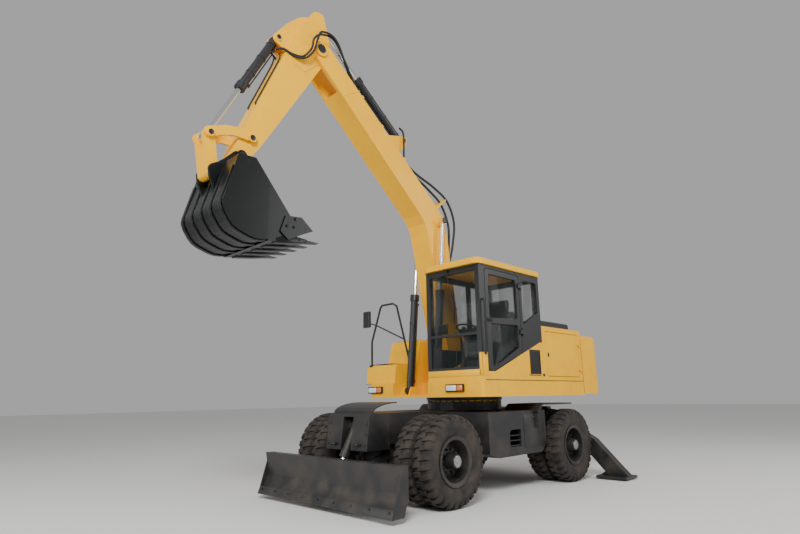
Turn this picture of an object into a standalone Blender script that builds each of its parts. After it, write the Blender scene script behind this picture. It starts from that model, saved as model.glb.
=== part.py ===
"""Wheeled excavator with twin tyres, a front blade and rear outriggers.

Metres, +Z up, +X towards the blade, +Y to the operator's left. The origin is on the ground under the
middle of the machine's box. Shapes of the chassis and the upper body are written from the slewing
axis; each link of the working arm is written in its own frame, from its pin along its length.
"""

import math

import bmesh
import bpy
from mathutils import Matrix, Vector

# ---------------------------------------------------------------- driving dimensions
GAP = 0.0003            # between two pieces that touch
PLAY = 0.0006           # radial play of a rod in its barrel, side play of an eye between its lugs
BORE = 0.0009           # a bore's radius beyond its pin's
CLEAR = 0.006           # between pieces that move past each other

SLEW_X = -1.0615         # slewing axis from the middle of the machine
WHEELBASE = 2.75
REAR_AXLE = -1.07       # from the slewing axis
FRONT_AXLE = REAR_AXLE + WHEELBASE
TYRE_RADIUS = 0.52
TYRE_WIDTH = 0.262
TWIN_PITCH = 0.305      # from the inner tyre's middle to the outer tyre's
OUTER_TYRE_Y = 1.10     # middle of the outer tyre
BEAD_RADIUS = 0.262
SPINDLE_RADIUS = 0.060
KINGPIN_Y = 0.50
STEER_HALF = 0.36       # half width of the chassis between the steered wheels
FRONT_BOX_HALF = 0.39

FRAME_LOW = 0.685
FRAME_TOP = 1.06
FRAME_REAR = -1.90
FRAME_FRONT = FRONT_AXLE + 0.27
TURRET_RADIUS = 0.56
TURRET_TOP = 1.17
DECK_LOW = 1.237        # underside of the upper body
DECK_TOP = 1.45
BODY_HALF = 1.16
BODY_FRONT = 1.04
BODY_REAR = -1.60       # where the counterweight begins
TAIL = -2.27
HOUSE_TOP = 2.26
WALL = 0.05
PANEL = 0.03            # thickness of a service door
SERVICE_DOOR = (-1.50, -0.54)         # rear and front edge
LID = (-1.50, -0.55, -0.80, 1.02)     # low and high x, low and high y

CAB_REAR = -0.44
CAB_FRONT = 1.03
CAB_RIGHT = 0.215
CAB_LEFT = 1.16
CAB_TOP = 2.98
ROOF_TOP = 3.07
SILL = 1.56             # lower edge of the front window
SLOPE_START = 0.76      # where the cab's lower edge starts to rise towards the rear
SLOPE_TOP = 2.00

BOOM_Y = -0.13          # middle plane of the working arm
BOOM_HALF = 0.18
BOOM_FOOT = (0.21, 1.80)
BOOM_LENGTH = 4.87
BOOM_ANGLE = 57.1       # rest angles above the ground, in degrees
ARM_LENGTH = 2.18
ARM_HALF = 0.12
ARM_ANGLE = -60.3
BUCKET_ANGLE = -132.8
BUCKET_HALF = 0.50
BUCKET_PLATE = 0.03
PIN = 0.040             # radius of the working arm's pins

BOOM_CYLINDER_FOOT = (0.78, 1.34)
BOOM_CYLINDER_TOP = (1.95, 0.89)      # in the boom's frame
BOOM_CYLINDER_SIDE = 0.262            # each side of the boom's middle plane
BOOM_CYLINDER_BARREL = 1.46
ARM_CYLINDER_FOOT = (3.32, 0.98)      # in the boom's frame
ARM_CYLINDER_TOP = (-0.494, 0.225)    # in the arm's frame
ARM_CYLINDER_BARREL = 1.14
BUCKET_CYLINDER_FOOT = (0.36, 0.50)   # in the arm's frame
BUCKET_CYLINDER_BARREL = 1.00
IDLER_PIN = (1.88, 0.02)              # in the arm's frame
ROD_PIN = (2.22, 0.42)                # in the arm's frame, at rest
LINK_PIN = (-0.02, 0.41)              # in the bucket's frame

BLADE_HINGE = (FRONT_AXLE + 0.42, 0.45)
BLADE_HALF = 1.27
BLADE_FACE = FRONT_AXLE + 0.96
BLADE_LOW = 0.06
BLADE_HIGH = 0.56
BLADE_DEPTH = 0.13
BLADE_CYLINDER_FOOT = (FRONT_AXLE + 0.48, 0.93)
BLADE_CYLINDER_TOP = (FRONT_AXLE + 0.78, 0.36)

OUTRIGGER_X = -1.70     # middle of the legs
OUTRIGGER_HALF = 0.075
OUTRIGGER_HINGE = (0.46, 0.74)        # y, z
OUTRIGGER_FOOT = (1.50, 0.015)        # y, z of the middle of the foot's sole
OUTRIGGER_CYLINDER_FOOT = (0.16, 0.99)
OUTRIGGER_CYLINDER_TOP = (0.90, 0.775)

YELLOW = (0.95, 0.58, 0.02)
BLACK = (0.02, 0.02, 0.022)


# ---------------------------------------------------------------- helpers
def paint(name, color, roughness, metallic=0.0):
    """Makes a plain material."""
    made = bpy.data.materials.new(name)
    made.use_nodes = True
    shader = made.node_tree.nodes["Principled BSDF"]
    shader.inputs["Base Color"].default_value = (*color, 1.0)
    shader.inputs["Roughness"].default_value = roughness
    shader.inputs["Metallic"].default_value = metallic
    return made


def axis_at(name, x, y, z, angle=0.0):
    """An empty on a joint's axis, turned up by an angle in degrees in the upright plane."""
    empty = bpy.data.objects.new(name, None)
    bpy.context.scene.collection.objects.link(empty)
    empty.empty_display_size = 0.2
    empty.location = (x, y, z)
    empty.rotation_euler = (0.0, -math.radians(angle), 0.0)
    empty.parent = machine
    return empty


def shape(bm):
    """A loose object from a bmesh."""
    mesh = bpy.data.meshes.new("shape")
    bm.to_mesh(mesh)
    bm.free()
    made = bpy.data.objects.new("shape", mesh)
    bpy.context.scene.collection.objects.link(made)
    return made


def prism(outline, low, high, along="Y"):
    """A flat outline pushed from low to high along an axis; its points lie in the other two axes."""
    place = {
        "X": lambda a, b, t: (t, a, b),
        "Y": lambda a, b, t: (a, t, b),
        "Z": lambda a, b, t: (a, b, t),
    }[along]
    bm = bmesh.new()
    first = [bm.verts.new(place(a, b, low)) for a, b in outline]
    last = [bm.verts.new(place(a, b, high)) for a, b in outline]
    bm.faces.new(first)
    bm.faces.new(last)
    for i in range(len(outline)):
        j = (i + 1) % len(outline)
        bm.faces.new((first[i], first[j], last[j], last[i]))
    bmesh.ops.recalc_face_normals(bm, faces=bm.faces)
    return shape(bm)


def rounded(corners, step=15.0):
    """An outline from corners (a, b) or (a, b, radius), the round ones as arcs."""
    points = []
    count = len(corners)
    for i, corner in enumerate(corners):
        here = Vector(corner[:2])
        radius = corner[2] if len(corner) > 2 else 0.0
        if radius == 0.0:
            points.append(tuple(here))
            continue
        back = (Vector(corners[i - 1][:2]) - here).normalized()
        ahead = (Vector(corners[(i + 1) % count][:2]) - here).normalized()
        half = back.angle(ahead) / 2
        centre = here + (back + ahead).normalized() * (radius / math.sin(half))
        start = here + back * (radius / math.tan(half)) - centre
        sweep = math.pi - 2 * half
        turn = 1 if back.x * ahead.y - back.y * ahead.x < 0 else -1
        steps = max(1, round(math.degrees(sweep) / step))
        for k in range(steps + 1):
            angle = turn * sweep * k / steps
            points.append(tuple(centre + Matrix.Rotation(angle, 2) @ start))
    return points


def box(low, high):
    """A box between two corners."""
    return prism([(low[0], low[1]), (high[0], low[1]), (high[0], high[1]), (low[0], high[1])], low[2], high[2], "Z")


def bar(start, end, radius, sides=16, end_radius=None, turn=0.0):
    """A round bar between two points, its corners turned by a share of one side."""
    start, end = Vector(start), Vector(end)
    bm = bmesh.new()
    bmesh.ops.create_cone(
        bm,
        cap_ends=True,
        segments=sides,
        radius1=radius,
        radius2=radius if end_radius is None else end_radius,
        depth=(end - start).length,
        matrix=Matrix.Translation((start + end) / 2)
        @ (end - start).to_track_quat("Z", "Y").to_matrix().to_4x4()
        @ Matrix.Rotation(2 * math.pi * turn / sides, 4, "Z"),
    )
    return shape(bm)


def cross_bar(x, z, radius, y_low, y_high, sides=16):
    """A round bar across the machine, such as a pin, a boss or a bore."""
    return bar((x, y_low, z), (x, y_high, z), radius, sides)


def turned(profile, sides):
    """A body turned about the Y axis from a closed profile of (y, radius) points."""
    bm = bmesh.new()
    rings = []
    for y, radius in profile:
        if radius == 0.0:
            rings.append([bm.verts.new((0.0, y, 0.0))] * sides)
            continue
        angles = [2 * math.pi * k / sides for k in range(sides)]
        rings.append([bm.verts.new((radius * math.cos(a), y, radius * math.sin(a))) for a in angles])
    for i, ring in enumerate(rings):
        following = rings[(i + 1) % len(rings)]
        for k in range(sides):
            m = (k + 1) % sides
            corners = []
            for vert in (ring[k], ring[m], following[m], following[k]):
                if vert not in corners:
                    corners.append(vert)
            if len(corners) > 2:
                bm.faces.new(corners)
    bmesh.ops.recalc_face_normals(bm, faces=bm.faces)
    return shape(bm)


def combine(base, others, operation):
    """Joins or cuts shapes, and leaves one loose object."""
    for other in others:
        modifier = base.modifiers.new("combine", "BOOLEAN")
        modifier.operation = operation
        modifier.solver = "EXACT"
        modifier.object = other
    graph = bpy.context.evaluated_depsgraph_get()
    mesh = bpy.data.meshes.new_from_object(base.evaluated_get(graph))
    bm = bmesh.new()
    bm.from_mesh(mesh)
    bmesh.ops.remove_doubles(bm, verts=bm.verts, dist=1e-5)
    bmesh.ops.dissolve_degenerate(bm, dist=1e-5, edges=bm.edges)
    bm.to_mesh(mesh)
    bm.free()
    base.modifiers.clear()
    base.data = mesh
    for other in others:
        bpy.data.objects.remove(other, do_unlink=True)
    return base


def join(base, *others):
    return combine(base, others, "UNION")


def cut(base, *others):
    return combine(base, others, "DIFFERENCE")


def mirrored(made):
    """A copy of a shape on the other side of the machine's middle plane."""
    bm = bmesh.new()
    bm.from_mesh(made.data)
    bmesh.ops.scale(bm, vec=(1, -1, 1), verts=bm.verts)
    bmesh.ops.reverse_faces(bm, faces=bm.faces)
    return shape(bm)


def finish(name, made, material, parent, smooth=False):
    """Names a shape, paints it and hangs it on its axis."""
    made.name = name
    made.data.name = name
    made.data.materials.clear()
    made.data.materials.append(material)
    made.parent = parent
    if smooth:
        made.data.shade_smooth()
        made.data.set_sharp_from_angle(angle=math.radians(35))
    return made


def from_axis(pivot, angle, point):
    """A link frame's point, in the slewing frame's upright plane."""
    turn = math.radians(angle)
    x, z = point
    return (
        pivot[0] + x * math.cos(turn) - z * math.sin(turn),
        pivot[1] + x * math.sin(turn) + z * math.cos(turn),
    )


def aim(start, end):
    """Length and angle in degrees from one point to another."""
    return math.dist(start, end), math.degrees(math.atan2(end[1] - start[1], end[0] - start[0]))


# ---------------------------------------------------------------- chassis
def build_chassis():
    """Box frame with turret, hinge lugs for the blade and the outriggers, and side boxes."""
    frame = box((FRAME_REAR, -STEER_HALF, FRAME_LOW), (FRAME_FRONT, STEER_HALF, FRAME_TOP))
    turret = bar((0, 0, FRAME_TOP - 0.01), (0, 0, TURRET_TOP), TURRET_RADIUS, 32)
    blade_lugs = [
        prism(
            rounded([(FRONT_AXLE + 0.14, FRAME_LOW + 0.02), (FRONT_AXLE + 0.14, 0.56), (BLADE_HINGE[0] + 0.07, 0.38, 0.06),
                     (BLADE_HINGE[0] + 0.07, 0.52, 0.06), (FRAME_FRONT - 0.01, 0.61),
                     (FRAME_FRONT - 0.02, FRAME_LOW + 0.02)]),
            side * 0.295 - 0.015, side * 0.295 + 0.015)
        for side in (-1, 1)
    ]
    blade_pins = [
        cross_bar(BLADE_HINGE[0], BLADE_HINGE[1], 0.03, min(side * 0.21, side * 0.315), max(side * 0.21, side * 0.315))
        for side in (-1, 1)
    ]
    y, z = OUTRIGGER_HINGE
    beams = []
    for low, high in ((OUTRIGGER_X - 0.130, OUTRIGGER_X - 0.085), (OUTRIGGER_X + 0.085, OUTRIGGER_X + 0.130)):
        beams.append(prism(
            [(-y - 0.10, z - 0.10), (y + 0.10, z - 0.10), (y + 0.10, z + 0.08), (y, z + 0.12), (0.34, 1.04),
             (-0.34, 1.04), (-y, z + 0.12), (-y - 0.10, z + 0.08)],
            low, high, "X"))
    notch = box((OUTRIGGER_X - 0.085, -1.0, 0.80), (OUTRIGGER_X + 0.085, 1.0, FRAME_TOP + 0.1))
    hinge_pins = [bar((OUTRIGGER_X - 0.13, side * y, z), (OUTRIGGER_X + 0.13, side * y, z), 0.028, 16)
                  for side in (-1, 1)]
    cylinder_pins = [
        bar((OUTRIGGER_X - 0.13, side * OUTRIGGER_CYLINDER_FOOT[0], OUTRIGGER_CYLINDER_FOOT[1]),
            (OUTRIGGER_X + 0.13, side * OUTRIGGER_CYLINDER_FOOT[0], OUTRIGGER_CYLINDER_FOOT[1]), 0.02, 16)
        for side in (-1, 1)
    ]
    cut(frame, notch)
    join(frame, turret, *blade_lugs, *blade_pins, *beams, *hinge_pins, *cylinder_pins)
    finish("chassis_frame", frame, black_steel, machine)


def build_front_box():
    """Tool box ahead of the frame with a well for the blade's cylinder, and a curved splash plate."""
    low = 0.63
    case = prism([(FRAME_FRONT + GAP, low), (FRAME_FRONT + 0.38, low), (FRAME_FRONT + 0.33, FRAME_TOP - 0.03),
                  (FRAME_FRONT + 0.30, FRAME_TOP), (FRAME_FRONT + GAP, FRAME_TOP)], -FRONT_BOX_HALF, FRONT_BOX_HALF)
    x, z = BLADE_CYLINDER_FOOT
    well = box((x - 0.07, -0.095, low - 0.1), (x + 0.4, 0.095, FRAME_TOP - 0.04))
    stem = 0.052 + PLAY
    lugs = [box((x - 0.05, min(s * stem, s * 0.11), z - 0.05), (x + 0.05, max(s * stem, s * 0.11), z + 0.05)) for s in (-1, 1)]
    join(cut(case, well), cross_bar(x, z, 0.020, -0.11, 0.11), *lugs)
    finish("front_box", case, black_steel, machine)

    x, z = FRAME_FRONT - 0.16, FRAME_TOP + GAP
    angles = [math.radians(a) for a in range(0, 91, 15)]
    over = [(x + 0.42 * math.sin(a), z + 0.13 * math.cos(a)) for a in angles]
    under = [(x + 0.405 * math.sin(a), z + 0.115 * math.cos(a)) for a in reversed(angles)]
    finish("splash_plate", prism(over + under, -FRONT_BOX_HALF, FRONT_BOX_HALF - 0.03), black_steel, machine)


def build_side_boxes():
    """Step boxes between the wheels, each with the fender over its rear tyres."""
    top = FRAME_TOP - 0.02
    body = prism(rounded([(-0.50, 0.60), (-0.38, 0.47, 0.06), (0.66, 0.46, 0.05), (0.86, 0.52), (0.86, top), (-0.50, top)]),
                 STEER_HALF + GAP, 1.08)
    recess = prism(rounded([(0.14, 0.58), (0.40, 0.58), (0.40, 0.80, 0.06), (0.14, 0.80)]), 0.86, 1.20)
    fender_top = rounded([(-1.16, 1.13), (-0.30, 1.13, 0.12), (-0.20, top - 0.02), (-0.225, top - 0.02),
                          (-0.322, 1.11, 0.10), (-1.16, 1.11)])
    fender = prism(fender_top, TURRET_RADIUS + 0.02, 1.16)
    side = join(cut(body, recess), fender)
    finish("step_box_right", mirrored(side), black_steel, machine)
    finish("step_box_left", side, black_steel, machine)


# ---------------------------------------------------------------- axles and wheels
def axle_beam(x, half, knuckle_lugs):
    """A cast axle with its differential housing, hung under the frame."""
    z = TYRE_RADIUS
    tube = bar((x, -half, z), (x, half, z), 0.085, 16)
    housing = bar((x, -0.20, z), (x, 0.20, z), 0.155, 16)
    cones = [bar((x, side * 0.18, z), (x, side * 0.36, z), 0.15, 16, 0.086) for side in (-1, 1)]
    nose = bar((x, 0, z), (x - 0.26 * (1 if x > 0 else -1), 0, z + 0.02), 0.09, 16)
    pads = [box((x - 0.11, side * 0.27 - 0.06, z + 0.02), (x + 0.11, side * 0.27 + 0.06, FRAME_LOW - GAP))
            for side in (-1, 1)]
    beam = join(tube, housing, *cones, nose, *pads)
    if knuckle_lugs:
        for side in (-1, 1):
            end = side * KINGPIN_Y
            near, far = sorted((end - side * 0.16, end + side * 0.06))
            lugs = [box((x - 0.06, near, z + low), (x + 0.06, far, z + low + 0.04)) for low in (-0.135, 0.095)]
            near, far = sorted((end - side * 0.16, end - side * 0.10))
            web = box((x - 0.06, near, z - 0.12), (x + 0.06, far, z + 0.12))
            join(beam, *lugs, web, bar((x, end, z - 0.15), (x, end, z + 0.15), 0.024, 16))
    return beam


def build_axles():
    """Front axle with steering knuckles, and a plain rear axle with its wheel spindles."""
    front = axle_beam(REAR_AXLE + WHEELBASE, KINGPIN_Y - 0.10, True)
    finish("front_axle", front, black_steel, machine)
    rear = axle_beam(REAR_AXLE, 0.60, False)
    for side in (-1, 1):
        join(rear, bar((REAR_AXLE, side * 0.50, TYRE_RADIUS), (REAR_AXLE, side * 0.99, TYRE_RADIUS), SPINDLE_RADIUS, 20))
    finish("rear_axle", rear, black_steel, machine)
    for side, word in ((1, "left"), (-1, "right")):
        axis = axis_at(f"steering_axis_{word}", REAR_AXLE + WHEELBASE, side * KINGPIN_Y, TYRE_RADIUS)
        knuckle = bar((0, 0, -0.095 + PLAY), (0, 0, 0.095 - PLAY), 0.055, 20)
        arm = box((-0.20, -0.03, -0.03), (0.0, 0.03, 0.01))
        flange = bar((0, side * 0.065, 0), (0, side * 0.13, 0), 0.088, 20)
        spindle = bar((0, 0, 0), (0, side * (0.99 - KINGPIN_Y), 0), SPINDLE_RADIUS, 20)
        join(knuckle, arm, flange, spindle)
        cut(knuckle, bar((0, 0, -0.2), (0, 0, 0.2), 0.024 + BORE, 16))
        finish(f"steering_knuckle_{word}", knuckle, black_steel, axis)


def tyre(middle):
    """One tyre: tread, shoulders, sidewalls and beads."""
    half = TYRE_WIDTH / 2
    profile = [(-0.096, BEAD_RADIUS), (-0.0965, 0.290), (-0.124, 0.350), (-half, 0.415), (-0.122, 0.480), (-0.098, 0.513),
               (0.0, TYRE_RADIUS)]
    profile += [(-y, radius) for y, radius in reversed(profile[:-1])]
    return turned([(y + middle, radius) for y, radius in profile], 24)


def twin_rim(side):
    """Both rims of a wheel with the disc, the hub and the bore for its spindle."""
    outer = OUTER_TYRE_Y
    inner = OUTER_TYRE_Y - TWIN_PITCH
    seat = BEAD_RADIUS - GAP
    profile = [(outer + 0.118, 0.0), (outer + 0.118, 0.078), (outer - 0.010, 0.098), (outer - 0.020, 0.150),
               (outer - 0.045, 0.222), (outer + 0.100, 0.240), (outer + 0.112, 0.286), (outer + 0.0985, 0.286),
               (outer + 0.097, seat), (inner - 0.097, seat), (inner - 0.0985, 0.286), (inner - 0.112, 0.286),
               (inner - 0.100, 0.240), (outer - 0.075, 0.222), (outer - 0.050, 0.120), (inner - 0.060, 0.105),
               (inner - 0.060, SPINDLE_RADIUS + BORE), (0.9907, SPINDLE_RADIUS + BORE), (0.9907, 0.0)]
    return turned([(side * y, radius) for y, radius in profile], 24)


def build_wheels():
    """Four twin wheels, each turning on its spindle."""
    for x, end in ((REAR_AXLE + WHEELBASE, "front"), (REAR_AXLE, "rear")):
        for side, word in ((1, "left"), (-1, "right")):
            axis = axis_at(f"wheel_axis_{end}_{word}", x, 0.0, TYRE_RADIUS)
            for place, middle in (("outer", OUTER_TYRE_Y), ("inner", OUTER_TYRE_Y - TWIN_PITCH)):
                finish(f"tyre_{end}_{word}_{place}", tyre(side * middle), rubber, axis, smooth=True)
            finish(f"rim_{end}_{word}", twin_rim(side), black_steel, axis, smooth=True)


# ---------------------------------------------------------------- blade and outriggers
def cylinder_barrel(length, radius, eye_half, bore, eye=0.05):
    """A cylinder's barrel along +X from its foot eye, open at the gland for the rod."""
    tube = bar((0.03, 0, 0), (length - 0.05, 0, 0), radius)
    gland = bar((length - 0.09, 0, 0), (length, 0, 0), radius + 0.010)
    foot = cross_bar(0, 0, eye, -eye_half, eye_half)
    barrel = join(tube, gland, foot)
    return cut(barrel, bar((0.075, 0, 0), (length + 0.1, 0, 0), bore + PLAY, turn=0.5))


def cylinder_rod(start, length, radius, eye_half, eye=0.05):
    """A rod from inside its barrel to its eye at the far end."""
    rod = bar((start, 0, 0), (length, 0, 0), radius, turn=0.5)
    return join(rod, cross_bar(length, 0, eye, -eye_half, eye_half))


def build_blade():
    """Dozer blade on two arms, lifted by one cylinder."""
    axis = axis_at("blade_axis", BLADE_HINGE[0], 0.0, BLADE_HINGE[1])
    x, z = BLADE_HINGE
    face, low, high = BLADE_FACE - x, BLADE_LOW - z, BLADE_HIGH - z
    middle = low + 0.36 * (high - low)
    rear = face - BLADE_DEPTH
    board = prism([(face + 0.02, high), (face, high - 0.10), (face - 0.015, middle + 0.05), (face + 0.02, middle - 0.04),
                   (face + 0.115, low), (face + 0.06, low), (rear + 0.045, middle - 0.02), (rear + 0.04, high)],
                  -BLADE_HALF, BLADE_HALF)
    ends = [prism([(face + 0.02, high), (face - 0.002, high - 0.10), (face + 0.115, low), (rear + 0.09, low),
                   (rear + 0.02, middle), (rear + 0.02, high)],
                  min(side * BLADE_HALF, side * (BLADE_HALF - 0.02)), max(side * BLADE_HALF, side * (BLADE_HALF - 0.02)))
            for side in (-1, 1)]
    hub_outer = 0.28 - CLEAR
    arms = [prism(rounded([(-0.055, -0.055, 0.05), (0.10, -0.08), (rear + 0.06, low + 0.06), (rear + 0.06, high - 0.10),
                           (0.12, 0.05), (-0.055, 0.055, 0.05)]),
                  min(side * 0.20, side * hub_outer), max(side * 0.20, side * hub_outer)) for side in (-1, 1)]
    tie = box((0.20, -0.21, low + 0.17), (0.26, 0.21, low + 0.25))
    top = (BLADE_CYLINDER_TOP[0] - x, BLADE_CYLINDER_TOP[1] - z)
    lugs = [prism(rounded([(top[0] - 0.05, top[1] - 0.05, 0.045), (rear + 0.06, top[1] - 0.06), (rear + 0.06, top[1] + 0.09),
                           (top[0] - 0.05, top[1] + 0.05, 0.045)]),
                  min(side * 0.047, side * 0.072), max(side * 0.047, side * 0.072)) for side in (-1, 1)]
    blade = join(board, *ends, *arms, tie, *lugs)
    cut(blade, cross_bar(0, 0, 0.03 + BORE, -0.4, 0.4))
    finish("blade", blade, black_steel, axis)

    length, angle = aim(BLADE_CYLINDER_FOOT, BLADE_CYLINDER_TOP)
    axis = axis_at("blade_cylinder_axis", BLADE_CYLINDER_FOOT[0], 0.0, BLADE_CYLINDER_FOOT[1], angle)
    barrel = cylinder_barrel(0.44, 0.048, 0.052, 0.025, 0.040)
    cut(barrel, cross_bar(0, 0, 0.020 + BORE, -0.1, 0.1))
    finish("blade_cylinder_barrel", barrel, black_steel, axis)
    finish("blade_cylinder_rod", cylinder_rod(0.32, length, 0.025, 0.0462, 0.036), chrome, axis, smooth=True)


def build_outriggers():
    """Two legs with wedge feet behind the rear wheels, each with its cylinder."""
    hinge_y, hinge_z = OUTRIGGER_HINGE
    reach, drop = OUTRIGGER_FOOT[0] - hinge_y, OUTRIGGER_FOOT[1] - hinge_z
    leg_line = rounded([(-0.06, 0.05, 0.05), (0.30, 0.02), (0.65, -0.10), (0.77, -0.17), (reach + 0.11, drop + 0.155),
                        (reach + 0.23, drop + 0.035), (reach - 0.21, drop + 0.035), (reach - 0.13, drop + 0.09),
                        (0.62, -0.32), (0.30, -0.16), (-0.06, -0.095, 0.05)])
    sole_line = [(reach - 0.23, drop), (reach + 0.24, drop), (reach + 0.25, drop + 0.03), (reach + 0.23, drop + 0.04),
                 (reach - 0.22, drop + 0.04)]
    for side, word in ((1, "left"), (-1, "right")):
        axis = axis_at(f"outrigger_axis_{word}", OUTRIGGER_X, side * hinge_y, hinge_z)
        leg = prism([(side * a, b) for a, b in leg_line], -OUTRIGGER_HALF, OUTRIGGER_HALF, "X")
        sole = prism([(side * a, b) for a, b in sole_line], -0.19, 0.19, "X")
        top_y = side * (OUTRIGGER_CYLINDER_TOP[0] - hinge_y)
        top_z = OUTRIGGER_CYLINDER_TOP[1] - hinge_z
        lugs = [prism([(top_y + dy, top_z + dz) for dy, dz in ((-0.06, -0.12), (0.07, -0.12), (0.045, 0.03), (0.02, 0.05),
                                                                 (-0.02, 0.05), (-0.045, 0.03))],
                      min(s * 0.041, s * 0.062), max(s * 0.041, s * 0.062), "X") for s in (-1, 1)]
        join(leg, sole, *lugs)
        cut(leg, bar((-0.2, 0, 0), (0.2, 0, 0), 0.028 + BORE, 16))
        finish(f"outrigger_{word}", leg, black_steel, axis)

        length, tilt = aim(OUTRIGGER_CYLINDER_FOOT, OUTRIGGER_CYLINDER_TOP)
        axis = axis_at(f"outrigger_cylinder_axis_{word}", OUTRIGGER_X, side * OUTRIGGER_CYLINDER_FOOT[0],
                       OUTRIGGER_CYLINDER_FOOT[1])
        axis.rotation_euler = (0.0, -math.radians(tilt), side * math.pi / 2)
        barrel = cylinder_barrel(0.40, 0.040, 0.038, 0.022, 0.034)
        cut(barrel, cross_bar(0, 0, 0.020 + BORE, -0.1, 0.1))
        finish(f"outrigger_cylinder_barrel_{word}", barrel, black_steel, axis)
        finish(f"outrigger_cylinder_rod_{word}", cylinder_rod(0.30, length, 0.022, 0.0405, 0.034), chrome, axis, smooth=True)


# ---------------------------------------------------------------- upper body
def slot_outline():
    """Plan of the well at the front of the deck, where the boom's cylinders stand."""
    low = BOOM_Y - BOOM_CYLINDER_SIDE - 0.09
    return [(0.42, low), (BODY_FRONT + 0.1, low), (BODY_FRONT + 0.1, CAB_RIGHT - 0.005), (0.42, CAB_RIGHT - 0.005)]


def build_deck():
    """Slewing deck: a skirted plate with the boom's towers and the feet of its cylinders."""
    plan = rounded([(BODY_REAR, -BODY_HALF), (BODY_FRONT - 0.20, -BODY_HALF), (BODY_FRONT, -BODY_HALF + 0.20),
                    (BODY_FRONT, BODY_HALF, 0.04), (BODY_REAR, BODY_HALF)])
    deck = prism(plan, DECK_LOW, DECK_TOP, "Z")
    bearing = bar((0, 0, TURRET_TOP + 0.0008), (0, 0, DECK_LOW + 0.02), TURRET_RADIUS - 0.02, 36)
    cut(deck, prism(slot_outline(), DECK_LOW + 0.04, DECK_TOP + 0.1, "Z"))
    x, z = BOOM_FOOT
    towers = [prism(rounded([(-0.50, DECK_TOP - 0.05), (0.44, DECK_TOP - 0.05), (x + 0.15, z - 0.02), (x + 0.14, z + 0.13, 0.12),
                             (x - 0.16, z + 0.13, 0.12), (x - 0.20, z - 0.05)]),
                    min(BOOM_Y + s * (BOOM_HALF + CLEAR), BOOM_Y + s * (BOOM_HALF + CLEAR + 0.04)),
                    max(BOOM_Y + s * (BOOM_HALF + CLEAR), BOOM_Y + s * (BOOM_HALF + CLEAR + 0.04))) for s in (-1, 1)]
    pin = cross_bar(x, z, 0.05, BOOM_Y - BOOM_HALF - 0.06, BOOM_Y + BOOM_HALF + 0.06, 24)
    x, z = BOOM_CYLINDER_FOOT
    feet = []
    for s in (-1, 1):
        middle = BOOM_Y + s * BOOM_CYLINDER_SIDE
        for t in (-1, 1):
            low, high = sorted((middle + t * (0.060 + PLAY), middle + t * 0.080))
            feet.append(prism(rounded([(x - 0.11, DECK_LOW + 0.02), (x + 0.11, DECK_LOW + 0.02), (x + 0.055, z + 0.055, 0.05),
                                       (x - 0.055, z + 0.055, 0.05)]), low, high))
        feet.append(cross_bar(x, z, 0.028, middle - 0.075, middle + 0.075))
    join(deck, bearing, *towers, pin, *feet)
    finish("slewing_deck", deck, yellow_paint, slew)


def build_counterweight():
    """Cast tail weight with rounded corners."""
    low, high = DECK_LOW + 0.02, HOUSE_TOP - 0.07
    plan = rounded([(BODY_REAR - GAP, -BODY_HALF), (TAIL + 0.09, -BODY_HALF, 0.16), (TAIL, -0.62, 0.4), (TAIL, 0.62, 0.4),
                    (TAIL + 0.09, BODY_HALF, 0.16), (BODY_REAR - GAP, BODY_HALF)])
    weight = prism(plan, low, high, "Z")
    bevel_edges(weight, 0.06, 3, lambda a, b: a.z > high - 0.001 and b.z > high - 0.001 and min(a.x, b.x) < BODY_REAR - 0.01)
    finish("counterweight", weight, yellow_paint, slew)


def bevel_edges(made, width, segments, chosen):
    """Rounds the edges of a shape whose two ends pass a test."""
    bm = bmesh.new()
    bm.from_mesh(made.data)
    edges = [e for e in bm.edges if chosen(e.verts[0].co, e.verts[1].co) and len(e.link_faces) == 2
             and e.calc_face_angle(0.0) > 0.2]
    bmesh.ops.bevel(bm, geom=edges, offset=width, segments=segments, profile=0.5, affect="EDGES", clamp_overlap=True)
    bm.to_mesh(made.data)
    bm.free()


def hinge_parts(x, y, heights, side):
    """Hinges on an upright axis outside a wall: pins with lugs for the wall, knuckles and bores for the door."""
    pins, knuckles, bores = [], [], []
    for z in heights:
        pins.append(bar((x, y, z - 0.045), (x, y, z + 0.045), 0.007, 12))
        near, far = sorted((y - side * 0.018, y + side * 0.010))
        for low, high in ((z - 0.050, z - 0.032), (z + 0.032, z + 0.050)):
            pins.append(box((x - 0.035, near, low), (x + 0.009, far, high)))
        knuckles.append(bar((x, y, z - 0.0315), (x, y, z + 0.0315), 0.013, 12))
        near, far = sorted((y - side * 0.011, y + side * 0.009))
        knuckles.append(box((x, near, z - 0.0315), (x + 0.062, far, z + 0.0315)))
        near, far = sorted((y - side * 0.018, y - side * 0.010))
        knuckles.append(box((x + 0.027, near, z - 0.0315), (x + 0.062, far, z + 0.0315)))
        bores.append(bar((x, y, z - 0.1), (x, y, z + 0.1), 0.007 + BORE, 12))
    return pins, knuckles, bores


def door_opening(side, grow):
    """Service door's outline in a side wall, wider by the gap on the wall than on the door."""
    low, high = DECK_TOP + 0.07, HOUSE_TOP - 0.09
    rear, front = SERVICE_DOOR
    line = rounded([(rear - grow, low - grow, 0.03), (front + grow, low - grow, 0.03),
                    (front + grow, high + grow, 0.03), (rear - grow, high + grow, 0.03)], 30)
    near, far = sorted((side * (BODY_HALF - (WALL + 0.01 if grow else PANEL)), side * (BODY_HALF + (0.01 if grow else 0.0))))
    return prism(line, near, far)


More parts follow.
